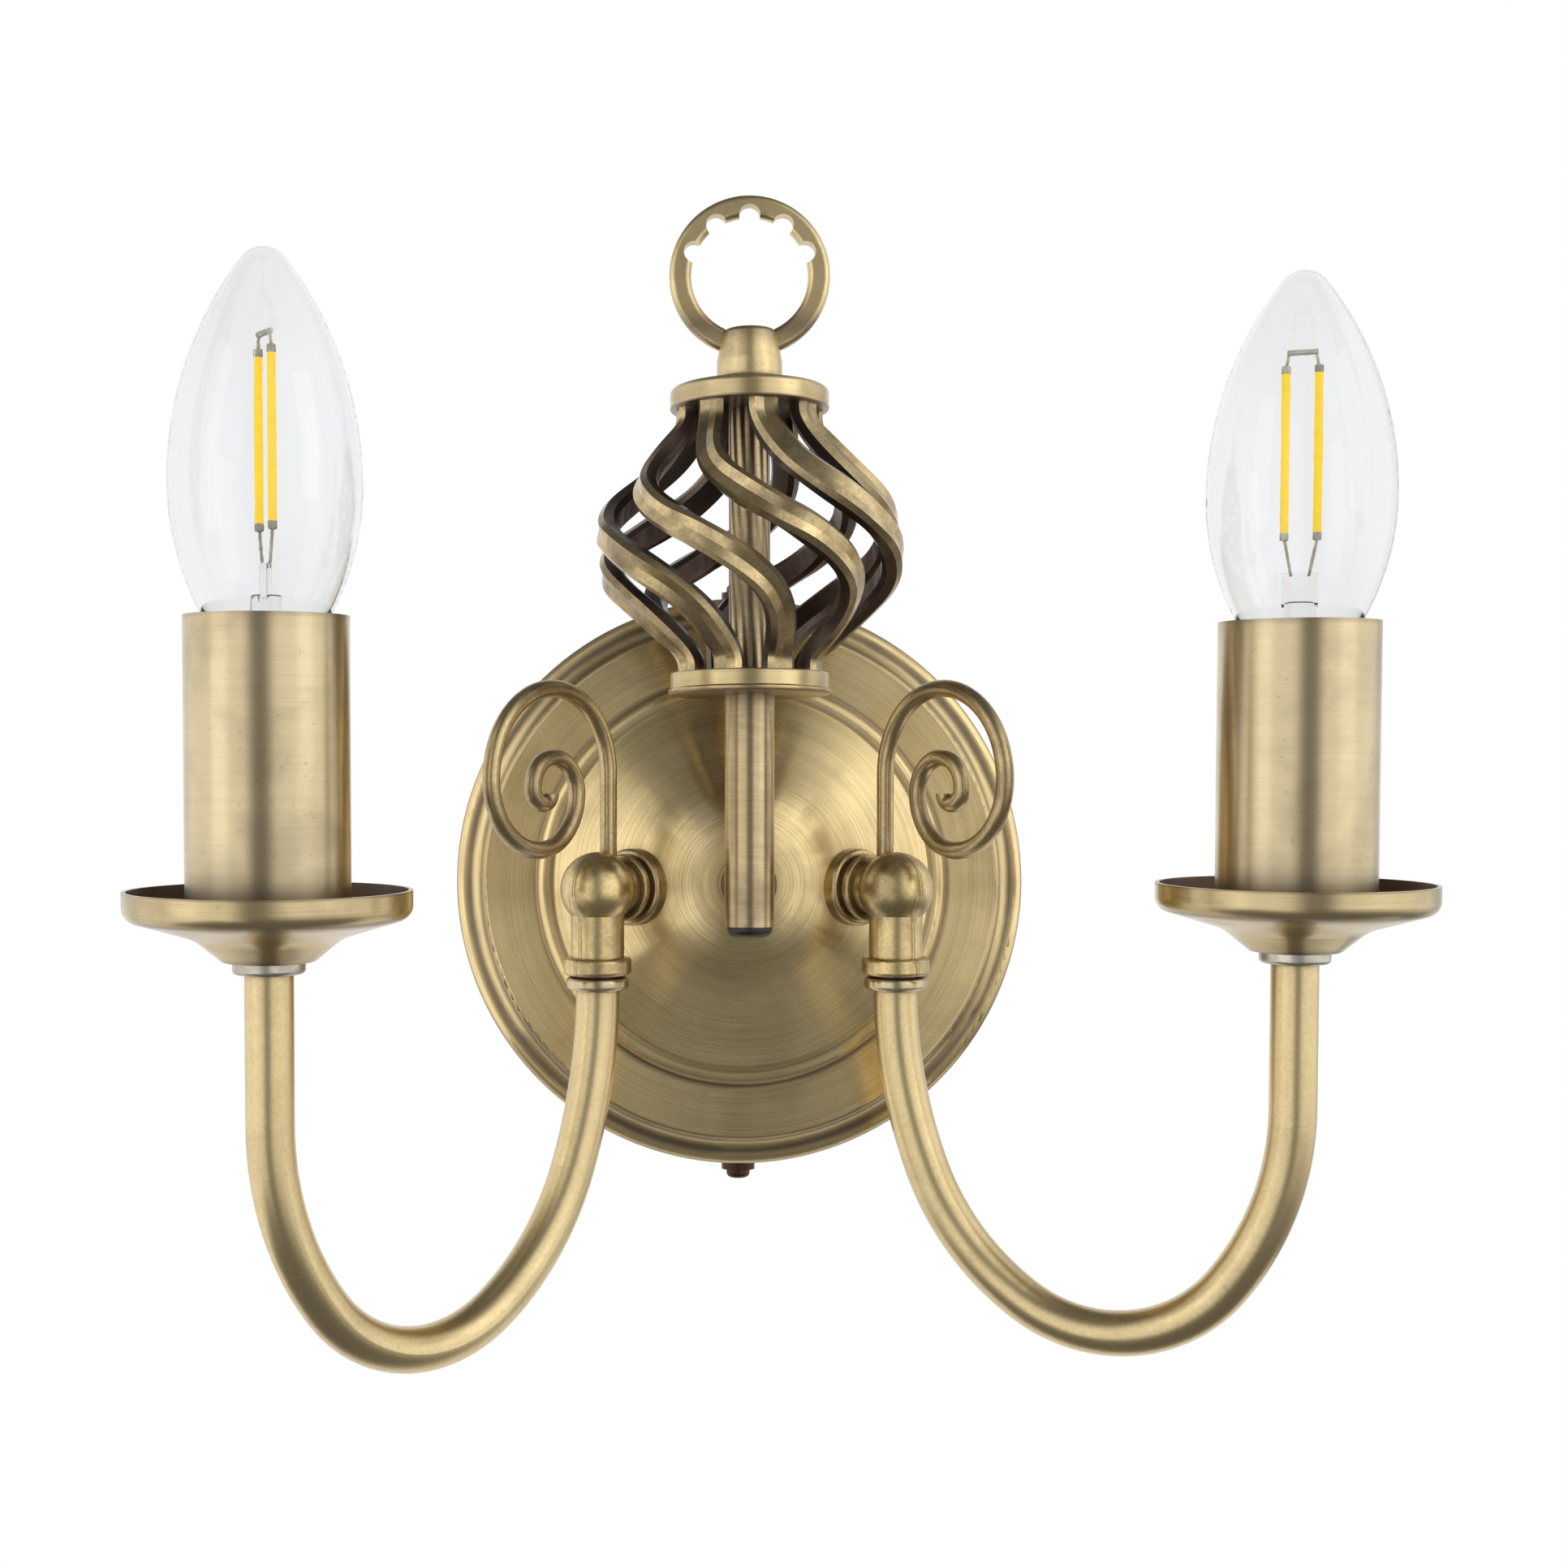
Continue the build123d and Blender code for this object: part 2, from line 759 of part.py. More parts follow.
def make_drip_pan():
    corners = [
        (pan_hole, -pan_depth),
        (pan_foot_radius, -pan_depth),
        (pan_waist_radius, -pan_waist_depth),
        (pan_radius, -pan_corner_depth),
        (pan_radius, 0),
    ]
    section = sheet_section(corners, [pan_foot_round, pan_waist_round, pan_corner_round], pan_wall)
    return Rot(X=90) * revolve(section, Axis.Y)


def make_holder_nipple():
    bottom = -pan_depth - holder_nipple_grip
    return ring(holder_nipple_radius, holder_nipple_bore, bottom, pan_floor + holder_nipple_tail)


def make_lampholder():
    foot_top = pan_floor + holder_foot_height
    corners = [
        (pan_hole, pan_floor),
        (holder_foot_radius, pan_floor),
        (holder_foot_radius, foot_top),
        (holder_radius, foot_top),
        (holder_radius, holder_top),
        (holder_bore, holder_top),
        (holder_bore, holder_floor),
        (pan_hole, holder_floor),
    ]
    return turned(corners, [0, 0, 0.5, 1.0, 1.0, 0.4, 0, 0])


def make_holder_shell():
    outer = holder_bore - fit_gap
    barrel = ring(outer, outer - shell_wall, shell_bottom, shell_top)
    strip = Box(tongue_width, 2 * holder_radius, 2 * holder_top)
    tongue = ring(outer, outer - shell_wall, holder_floor, shell_bottom) & strip
    floor = rod(outer, holder_floor, holder_floor + shell_wall) & strip
    spring_top = insulator_bottom - pip_height - turn_gap
    spring = rod(pip_radius, holder_floor, spring_top)
    return barrel + tongue + floor + spring


def make_candle_tube():
    return ring(candle_radius, candle_radius - candle_wall, candle_foot(), candle_top)


def candle_foot():
    """Height where the candle tube's outer edge rests on the pan's inner face."""
    slope = (pan_waist_depth - pan_corner_depth) / (pan_radius - pan_waist_radius)
    inner_rise = pan_wall * sqrt(1 + slope**2)
    return -pan_waist_depth + (candle_radius - pan_waist_radius) * slope + inner_rise + 2 * seat_gap


# Bulbs


def bulb_outline(inset):
    """Half outline of the glass in (radius, height), from the open neck to the tip."""
    belly = (bulb_belly_radius - inset, bulb_belly_height)
    lower_turn = degrees(acos(1 - (bulb_belly_radius - bulb_neck_radius) / bulb_lower_curve))
    upper_turn = degrees(
        acos((bulb_upper_curve - bulb_belly_radius) / (bulb_upper_curve - bulb_tip_round))
    )
    lower = JernArc(belly, (0, -1), bulb_lower_curve - inset, -lower_turn)
    neck = Line((bulb_neck_radius - inset, bulb_neck_height), lower @ 1)
    upper = JernArc(belly, (0, 1), bulb_upper_curve - inset, upper_turn)
    tip = JernArc(upper @ 1, upper % 1, bulb_tip_round - inset, 90 - upper_turn)
    return [neck, lower, upper, tip]


def make_bulb_glass():
    outer = bulb_outline(0)
    inner = bulb_outline(bulb_wall)
    ends = [Line(outer[0] @ 0, inner[0] @ 0), Line(outer[-1] @ 1, inner[-1] @ 1)]
    return Rot(X=90) * revolve(make_face(outer + inner + ends), Axis.Y)


def make_bulb_cap():
    bore = cap_radius - cap_wall
    neck_bore = bulb_neck_radius + fit_gap
    corners = [
        (0, insulator_bottom),
        (insulator_radius, insulator_bottom),
        (cap_radius, cap_bottom + cap_base_slope),
        (cap_radius, bulb_neck_height - cap_step),
        (bore, bulb_neck_height - cap_step),
        (bore, cap_bottom + cap_base_wall),
        (0, cap_bottom + cap_base_wall),
    ]
    shell = turned(corners, [0, 0.5, 0.8, 0, 0, 0, 0])
    flare = [
        (bore, bulb_neck_height - cap_step - cap_wall),
        (neck_bore + cap_wall, bulb_neck_height - cap_step - cap_wall),
        (neck_bore + cap_wall, cap_top),
        (neck_bore, cap_top),
        (neck_bore, bulb_neck_height - cap_step),
        (bore, bulb_neck_height - cap_step),
    ]
    return shell + turned(flare, [0, 0, 0, 0, 0, 0])


def make_bulb_contact():
    corners = [
        (0, insulator_bottom - pip_height),
        (pip_radius, insulator_bottom - pip_height),
        (pip_radius, insulator_bottom - seat_gap),
        (0, insulator_bottom - seat_gap),
    ]
    return turned(corners, [0, pip_height * 0.7, 0, 0])


def make_bulb_stem():
    corners = [
        (0, stem_bottom),
        (bulb_neck_radius - bulb_wall - fit_gap, stem_bottom),
        (stem_radius, stem_bottom + stem_flare_height),
        (stem_radius, stem_top),
        (0, stem_top),
    ]
    stem = turned(corners, [0, 0.4, 3.0, 0.6, 0])
    pinch_bottom = stem_top - pinch_root
    pinch = Box(pinch_width, pinch_thickness, pinch_top - pinch_bottom)
    pinch = fillet(pinch.edges().filter_by(Axis.Z), pinch_round)
    return stem + Pos(0, 0, (pinch_bottom + pinch_top) / 2) * pinch


def make_bulb_filaments():
    pieces = []
    for x in (-filament_spacing / 2, filament_spacing / 2):
        stick = rod(filament_radius, filament_bottom, filament_top)
        lead = rod(lead_radius, pinch_top + seat_gap / 2, filament_bottom)
        hanger = rod(lead_radius, filament_top, bridge_height)
        pieces.append(Pos(x, 0, 0) * (stick + lead + hanger))
    bridge = Pos(0, 0, bridge_height) * Rot(Y=90) * rod(
        bridge_radius, -filament_spacing / 2 - bridge_radius, filament_spacing / 2 + bridge_radius
    )
    return pieces[0] + pieces[1] + bridge


# The assembly: one node for each piece, with like fasteners together


def grouped(pieces):
    """Several separate solids kept as one node."""
    return Compound(children=[solid for piece in pieces for solid in piece.solids()])


nodes = {
    "back_plate": make_back_plate(),
    "wall_bracket": make_wall_bracket(),
    "plate_screws": grouped(make_plate_screws()),
    "plate_screw_washers": grouped(make_plate_screw_washers()),
    "terminal_block": make_terminal_block(),
    "terminal_screws": grouped(make_terminal_screws()),
    "earth_screw": make_earth_screw(),
    "column_spacer": make_column_spacer(),
    "column_bolt": make_column_bolt(),
    "column_core": make_column_core(),
    "column_tube": make_column_tube(),
    "column_plug": make_column_plug(),
    "lower_collar": make_lower_collar(),
    "upper_collar": make_upper_collar(),
    "cage_tube": make_cage_tube(),
    "tie_rod": make_tie_rod(),
    "finial_washer": make_finial_washer(),
    "finial": make_finial(),
    "elbow_nipples": grouped(make_elbow_nipples()),
    "elbow_washers": grouped(make_elbow_washers()),
    "elbow_nuts": grouped(make_elbow_nuts()),
}

cage_bar = make_cage_bar()
for i in range(cage_bars):
    foot = Rot(Z=cage_first_foot + i * 360 / cage_bars)
    nodes[f"cage_bar_{i + 1}"] = column_place * foot * cage_bar

arm_pieces = {
    "arm_tube": make_arm_tube(),
    "arm_collar": make_arm_collar(),
}
candle_pieces = {
    "pan_ferrule": make_pan_ferrule(),
    "drip_pan": make_drip_pan(),
    "holder_nipple": make_holder_nipple(),
    "lampholder": make_lampholder(),
    "holder_shell": make_holder_shell(),
    "candle_tube": make_candle_tube(),
    "bulb_contact": make_bulb_contact(),
    "bulb_cap": make_bulb_cap(),
    "bulb_glass": make_bulb_glass(),
    "bulb_stem": make_bulb_stem(),
    "bulb_filaments": make_bulb_filaments(),
}
for name, side in sides.items():
    arm_frame = socket_frame(side, side["swing"])
    candle_frame = arm_frame * Pos(arm_reach, 0, pan_rim)
    bulb_frame = candle_frame * Rot(Z=side["filament_turn"])
    nodes[f"{name}_elbow"] = make_elbow(side)
    nodes[f"{name}_scroll"] = make_scroll(side)
    for piece, shape in arm_pieces.items():
        nodes[f"{name}_{piece}"] = arm_frame * shape
    for piece, shape in candle_pieces.items():
        frame = bulb_frame if piece.startswith("bulb") else candle_frame
        nodes[f"{name}_{piece}"] = frame * shape
    axis_point = arm_frame.position
    axis = (arm_frame * Pos(0, 0, 1)).position - axis_point
    candle_point = candle_frame.position
    print(name, "swivel axis through", axis_point, "along", axis, "candle at", candle_point)

for name, shape in nodes.items():
    export_step(shape, f"parts/{name}.step")
print(len(nodes), "nodes, reach", round(arm_reach, 2), "dome depth", round(dome_depth, 2))
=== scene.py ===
"""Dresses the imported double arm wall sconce: finishes, filaments, studio and camera."""

from __future__ import annotations

import logging
import math
from dataclasses import dataclass, field
from enum import Enum

import bpy
from mathutils import Matrix, Vector


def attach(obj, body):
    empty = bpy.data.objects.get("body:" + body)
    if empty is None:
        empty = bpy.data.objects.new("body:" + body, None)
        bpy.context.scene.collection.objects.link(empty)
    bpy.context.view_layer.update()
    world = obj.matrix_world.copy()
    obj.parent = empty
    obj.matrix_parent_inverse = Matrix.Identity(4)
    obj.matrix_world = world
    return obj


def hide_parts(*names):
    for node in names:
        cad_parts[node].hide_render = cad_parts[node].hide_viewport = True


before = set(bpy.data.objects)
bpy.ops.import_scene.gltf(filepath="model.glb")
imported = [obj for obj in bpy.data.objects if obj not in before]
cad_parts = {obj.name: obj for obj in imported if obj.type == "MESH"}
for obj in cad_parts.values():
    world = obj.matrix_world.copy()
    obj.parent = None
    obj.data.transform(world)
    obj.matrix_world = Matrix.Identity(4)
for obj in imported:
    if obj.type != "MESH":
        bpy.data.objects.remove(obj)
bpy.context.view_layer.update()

log = logging.getLogger("sconce")
logging.basicConfig(level=logging.INFO, format="%(name)s: %(message)s")

Colour = tuple[float, float, float, float]
Triple = tuple[float, float, float]
Span = tuple[float, float]

MM = 0.001
COLUMN_AXIS = (0.0, -53.0 * MM, 0.0)
WHITE = (1.0, 1.0, 1.0, 1.0)


def mm(*values: float) -> tuple[float, ...]:
    """Millimetres as metres."""
    return tuple(value * MM for value in values)


class Side(Enum):
    """The two sides of the lamp, as the viewer sees them."""

    LEFT = "left"
    RIGHT = "right"


class Grain(Enum):
    """How a metal surface was worked."""

    TURNED = "turned"
    CAST = "cast"


@dataclass(frozen=True)
class SidePlace:
    """Where one side's parts stand, in millimetres and degrees."""

    side: Side
    hand: int
    swing: float
    scroll_swing: float
    filament_turn: float
    ball_place: Triple = (30.8039, -42.4194, -1.0757)
    droop: float = 2.5

    @property
    def ball(self) -> Vector:
        """Centre of the elbow's ball, in metres."""
        x, y, z = self.ball_place
        return Vector((self.hand * x, y, z)) * MM

    def frame(self, swing: float, reach: float = 0.0, rise: float = 0.0) -> Matrix:
        """Frame on the socket axis, z up the axis and x outwards at a swing.

        Args:
            swing: degrees from straight ahead, outwards.
            reach: millimetres outwards along x.
            rise: millimetres up the axis.

        Returns:
            The frame's matrix, in metres.
        """
        turn = Matrix.Rotation(math.radians(self.hand * swing - 90), 4, "Z")
        lean = Matrix.Rotation(math.radians(self.droop), 4, "X")
        shift = Matrix.Translation(Vector((reach, 0, rise)) * MM)
        return Matrix.Translation(self.ball) @ lean @ turn @ shift


PLACES = (
    SidePlace(Side.LEFT, -1, swing=47.5, scroll_swing=39.5, filament_turn=80.0),
    SidePlace(Side.RIGHT, 1, swing=64.5, scroll_swing=34.0, filament_turn=5.0),
)


# Shader groups


class NodeSheet:
    """A small builder for one node tree."""

    def __init__(self, tree: bpy.types.NodeTree) -> None:
        """Clears a tree and keeps it."""
        self.tree = tree
        tree.nodes.clear()

    def link(self, start: bpy.types.NodeSocket, end: bpy.types.NodeSocket) -> None:
        """Joins two sockets."""
        self.tree.links.new(start, end)

    def put(self, value: object, socket: bpy.types.NodeSocket) -> None:
        """Feeds an input.

        Args:
            value: an output socket to link, or a plain value.
            socket: the input.
        """
        if isinstance(value, bpy.types.NodeSocket):
            self.link(value, socket)
        else:
            socket.default_value = value

    def add(self, kind: str, **settings: object) -> bpy.types.Node:
        """Adds a node.

        Args:
            kind: the node's type name.
            settings: attributes to set; a key of the form in_NAME or in_0 sets that input.

        Returns:
            The node.
        """
        node = self.tree.nodes.new(kind)
        for name, value in settings.items():
            if name.startswith("in_"):
                key = name[3:]
                self.put(value, node.inputs[int(key) if key.isdigit() else key.replace("_", " ")])
            else:
                setattr(node, name, value)
        return node

    def math(self, operation: str, *values: object) -> bpy.types.NodeSocket:
        """Adds a Math node.

        Args:
            operation: the node's operation.
            values: its inputs, as sockets or numbers.

        Returns:
            The result.
        """
        node = self.add("ShaderNodeMath", operation=operation)
        for value, socket in zip(values, node.inputs):
            self.put(value, socket)
        return node.outputs[0]

    def vector(self, operation: str, first: object, second: object, output: str = "Vector") -> bpy.types.NodeSocket:
        """Adds a Vector Math node.

        Args:
            operation: the node's operation.
            first: its first vector.
            second: its second vector.
            output: the name of the output that is wanted.

        Returns:
            The result.
        """
        return self.add("ShaderNodeVectorMath", operation=operation, in_0=first, in_1=second).outputs[output]

    def chain(self, operation: str, *values: object) -> bpy.types.NodeSocket:
        """Runs a Math operation along several values.

        Args:
            operation: the nodes' operation, one that takes two inputs.
            values: two or more sockets or numbers.

        Returns:
            The last result.
        """
        result = values[0]
        for value in values[1:]:
            result = self.math(operation, result, value)
        return result

    def product(self, *values: object) -> bpy.types.NodeSocket:
        """Multiplies several values."""
        return self.chain("MULTIPLY", *values)

    def total(self, *values: object) -> bpy.types.NodeSocket:
        """Adds several values."""
        return self.chain("ADD", *values)

    def largest(self, *values: object) -> bpy.types.NodeSocket:
        """Gives the largest of several values."""
        return self.chain("MAXIMUM", *values)

    def rest(self, value: object) -> bpy.types.NodeSocket:
        """Gives what a share leaves of one."""
        return self.math("SUBTRACT", 1.0, value)

    def sway(self, noise: bpy.types.NodeSocket, amount: float) -> bpy.types.NodeSocket:
        """Gives an amount that a noise swings to both sides of nought."""
        return self.product(self.math("SUBTRACT", noise, 0.5), amount)

    def split(self, vector: bpy.types.NodeSocket) -> tuple[bpy.types.NodeSocket, ...]:
        """Gives the three parts of a vector."""
        return tuple(self.add("ShaderNodeSeparateXYZ", in_0=vector).outputs)

    def length(self, x: bpy.types.NodeSocket, y: bpy.types.NodeSocket) -> bpy.types.NodeSocket:
        """Gives the distance from an axis."""
        return self.math("SQRT", self.total(self.product(x, x), self.product(y, y)))

    def noise(self, vector: bpy.types.NodeSocket, scale: object, **settings: object) -> bpy.types.NodeSocket:
        """Adds a noise.

        Args:
            vector: where it is looked up.
            scale: its scale.
            settings: further settings, as NodeSheet.add takes them.

        Returns:
            The noise's value.
        """
        return self.add("ShaderNodeTexNoise", in_Scale=scale, **settings, in_Vector=vector).outputs[0]

    def mix(self, factor: object, first: object, second: object) -> bpy.types.NodeSocket:
        """Mixes two colours.

        Args:
            factor: the second colour's share.
            first: the first colour.
            second: the second colour.

        Returns:
            The mixed colour.
        """
        return self.add("ShaderNodeMix", data_type="RGBA", in_0=factor, in_6=first, in_7=second).outputs[2]

    def spread(self, value: bpy.types.NodeSocket, span: Span, low: float, high: float) -> bpy.types.NodeSocket:
        """Maps a value softly from one range to another, held at both ends.

        Args:
            value: the value.
            span: the range it is mapped from.
            low: the result at the start of the span.
            high: the result at its end.

        Returns:
            The mapped value.
        """
        node = self.add("ShaderNodeMapRange", interpolation_type="SMOOTHSTEP", in_0=value)
        for number, socket in zip((*span, low, high), node.inputs[1:5]):
            socket.default_value = number
        return node.outputs[0]

    def bump(self, height: bpy.types.NodeSocket, strength: float, distance: float) -> bpy.types.NodeSocket:
        """Turns a height into a normal.

        Args:
            height: the height.
            strength: the bump's strength.
            distance: what a height of one stands for, in metres.

        Returns:
            The normal.
        """
        return self.add("ShaderNodeBump", in_Strength=strength, in_Distance=distance, in_Height=height).outputs[0]

    def shade(self, **settings: object) -> None:
        """Adds the surface's shader, and the output it goes to.

        Args:
            settings: the shader's inputs, as NodeSheet.add takes them.
        """
        shader = self.add("ShaderNodeBsdfPrincipled", **settings)
        self.add("ShaderNodeOutputMaterial", in_0=shader.outputs[0])


def new_group(
    name: str, inputs: dict[str, tuple[str, object]], outputs: tuple[str, ...]
) -> tuple[NodeSheet, bpy.types.Node, bpy.types.Node]:
    """Starts a shader node group with named sockets.

    Args:
        name: the group's name.
        inputs: socket name to (socket type, default value).
        outputs: names of the float outputs.

    Returns:
        The sheet, the group's input node and its output node.
    """
    tree = bpy.data.node_groups.new(name, "ShaderNodeTree")
    sheet = NodeSheet(tree)
    for label, (kind, value) in inputs.items():
        socket = tree.interface.new_socket(label, in_out="INPUT", socket_type=kind)
        if value is not None:
            socket.default_value = value
    for label in outputs:
        tree.interface.new_socket(label, in_out="OUTPUT", socket_type="NodeSocketFloat")
    return sheet, sheet.add("NodeGroupInput"), sheet.add("NodeGroupOutput")


def new_material(name: str) -> tuple[bpy.types.Material, NodeSheet, bpy.types.Node]:
    """Starts a material.

    Args:
        name: the material's name.

    Returns:
        The material, its sheet and its texture coordinates.
    """
    material = bpy.data.materials.new(name)
    material.use_nodes = True
    sheet = NodeSheet(material.node_tree)
    return material, sheet, sheet.add("ShaderNodeTexCoord")


def make_brushing_group() -> bpy.types.NodeTree:
    """Fine brush lines that run round the local Z axis, and broader bands of them.

    Returns:
        The group.
    """
    sheet, source, sink = new_group(
        "Turned brushing",
        {"Vector": ("NodeSocketVector", None), "Lines per mm": ("NodeSocketFloat", 5.0)},
        ("Line", "Band"),
    )
    change_round = 0.7
    x, y, z = sheet.split(source.outputs["Vector"])
    radius = sheet.length(x, y)
    safe = sheet.largest(radius, 1e-5)
    around_x = sheet.product(sheet.math("DIVIDE", x, safe), change_round)
    around_y = sheet.product(sheet.math("DIVIDE", y, safe), change_round)
    for label, share, detail in (("Line", 1000.0, 3.0), ("Band", 130.0, 2.0)):
        density = sheet.product(source.outputs["Lines per mm"], share)
        across, along = sheet.product(radius, density), sheet.product(z, density)
        place = sheet.add("ShaderNodeCombineXYZ", in_X=across, in_Y=along, in_Z=around_x).outputs[0]
        noise = sheet.noise(place, 1.0, noise_dimensions="4D", in_W=around_y, in_Detail=detail, in_Roughness=0.6)
        sheet.link(noise, sink.inputs[label])
    return sheet.tree


def make_patina_group() -> bpy.types.NodeTree:
    """Cloudy darkening, with small dark specks.

    Returns:
        The group.
    """
    sheet, source, sink = new_group(
        "Patina",
        {
            "Vector": ("NodeSocketVector", None),
            "Cloud size": ("NodeSocketFloat", 60.0),
            "Amount": ("NodeSocketFloat", 0.5),
        },
        ("Dark", "Speck", "Cloud"),
    )
    place, size = source.outputs["Vector"], source.outputs["Cloud size"]
    cloud = sheet.noise(place, size, in_Detail=5.0, in_Roughness=0.55, in_Distortion=0.4)
    speck = sheet.noise(place, 900.0, in_Detail=2.0, in_Roughness=0.5)
    dark = sheet.product(sheet.spread(cloud, (0.42, 0.68), 0.0, 1.0), source.outputs["Amount"])
    sheet.link(cloud, sink.inputs["Cloud"])
    sheet.link(dark, sink.inputs["Dark"])
    sheet.link(sheet.spread(speck, (0.66, 0.76), 0.0, 1.0), sink.inputs["Speck"])
    return sheet.tree


def make_recess_group() -> bpy.types.NodeTree:
    """A mask for corners and grooves: tarnish in hollows, and painted shade where other parts come near, as the
    occlusion reaches them too.

    Returns:
        The group.
    """
    sheet, source, sink = new_group(
        "Tarnish and painted shade in recesses",
        {"Reach": ("NodeSocketFloat", 0.004), "Noise": ("NodeSocketFloat", 0.5)},
        ("Recess",),
    )
    # Occlusion darkens where shade falls, near neighbouring parts as well: painted shade on top of tarnish in hollows.
    shade = sheet.add("ShaderNodeAmbientOcclusion", samples=6, in_Distance=source.outputs["Reach"])
    open_share = sheet.total(shade.outputs["AO"], sheet.sway(source.outputs["Noise"], 0.25))
    sheet.link(sheet.spread(open_share, (0.35, 0.85), 1.0, 0.0), sink.inputs["Recess"])
    return sheet.tree


@dataclass(frozen=True)
class ShaderGroups:
    """The shader groups that several finishes share."""

    brushing: bpy.types.NodeTree = field(default_factory=make_brushing_group)
    patina: bpy.types.NodeTree = field(default_factory=make_patina_group)
    recess: bpy.types.NodeTree = field(default_factory=make_recess_group)


GROUPS = ShaderGroups()


# Finishes


@dataclass(frozen=True)
class Stain:
    """A band of tarnish round a turned part, in millimetres along its axis or out from it; the finial's bands are
    painted shade instead.
    """

    at: float
    width: float
    strength: float
    outwards: bool = False
    ragged: float = 0.8

    def mask(
        self, sheet: NodeSheet, height: bpy.types.NodeSocket, radius: bpy.types.NodeSocket, noise: bpy.types.NodeSocket
    ) -> bpy.types.NodeSocket:
        """The band's share of tarnish.

        Args:
            sheet: the material's sheet.
            height: place along the axis, in metres.
            radius: distance from the axis, in metres.
            noise: what makes the band's edges ragged.

        Returns:
            The band's share of darkening.
        """
        off = sheet.math("ABSOLUTE", sheet.math("SUBTRACT", radius if self.outwards else height, self.at * MM))
        off = sheet.total(off, sheet.sway(noise, self.width * self.ragged * MM))
        return sheet.spread(off, (0.0, self.width * MM), self.strength, 0.0)


@dataclass(frozen=True)
class CastSeam:
    """The parting line and the gate scar of a casting, on its local x side, in millimetres."""

    strength: float = 0.8
    wander: float = 1.6
    ridge: Span = (0.05, 0.28)
    flank: Span = (0.15, 0.7)
    scar_place: Triple = (7.0, 0.2, -1.6)
    scar_squeeze: float = 0.45
    scar_ragged: float = 3.4
    scar: Span = (1.0, 1.5)
    rim: Span = (1.3, 2.4)
    rim_share: float = 0.6
    relief: float = 4.0

    def mark(
        self, sheet: NodeSheet, place: bpy.types.NodeSocket, noises: tuple[bpy.types.NodeSocket, ...], dark: object
    ) -> tuple[bpy.types.NodeSocket, bpy.types.NodeSocket]:
        """Draws the line and the scar.

        Args:
            sheet: the material's sheet.
            place: local coordinates, z up the casting.
            noises: the noise that the line wanders by, and the one that roughens the scar.
            dark: the tarnish so far.

        Returns:
            The tarnish with the line and the scar in it, and the height they add.
        """
        cloud, band = noises
        x, y, z = sheet.split(place)
        outer = sheet.math("GREATER_THAN", x, 0.0)
        off = sheet.math("ABSOLUTE", sheet.total(y, sheet.sway(cloud, self.wander * MM)))
        ridge = sheet.product(sheet.spread(off, mm(*self.ridge), 1.0, 0.0), outer)
        flank = sheet.product(sheet.spread(off, mm(*self.flank), self.strength, 0.0), outer)
        dark = sheet.product(sheet.largest(dark, flank), sheet.rest(ridge))
        spot = sheet.add("ShaderNodeCombineXYZ", in_X=x, in_Y=y, in_Z=sheet.product(z, self.scar_squeeze)).outputs[0]
        reach = sheet.vector("DISTANCE", spot, mm(*self.scar_place), "Value")
        near = sheet.total(reach, sheet.sway(band, self.scar_ragged * MM))
        scar = sheet.spread(near, mm(*self.scar), 1.0, 0.0)
        rim = sheet.spread(near, mm(*self.rim), self.strength * self.rim_share, 0.0)
        dark = sheet.largest(dark, sheet.product(rim, sheet.rest(scar)))
        return dark, sheet.product(sheet.largest(ridge, scar), self.relief)


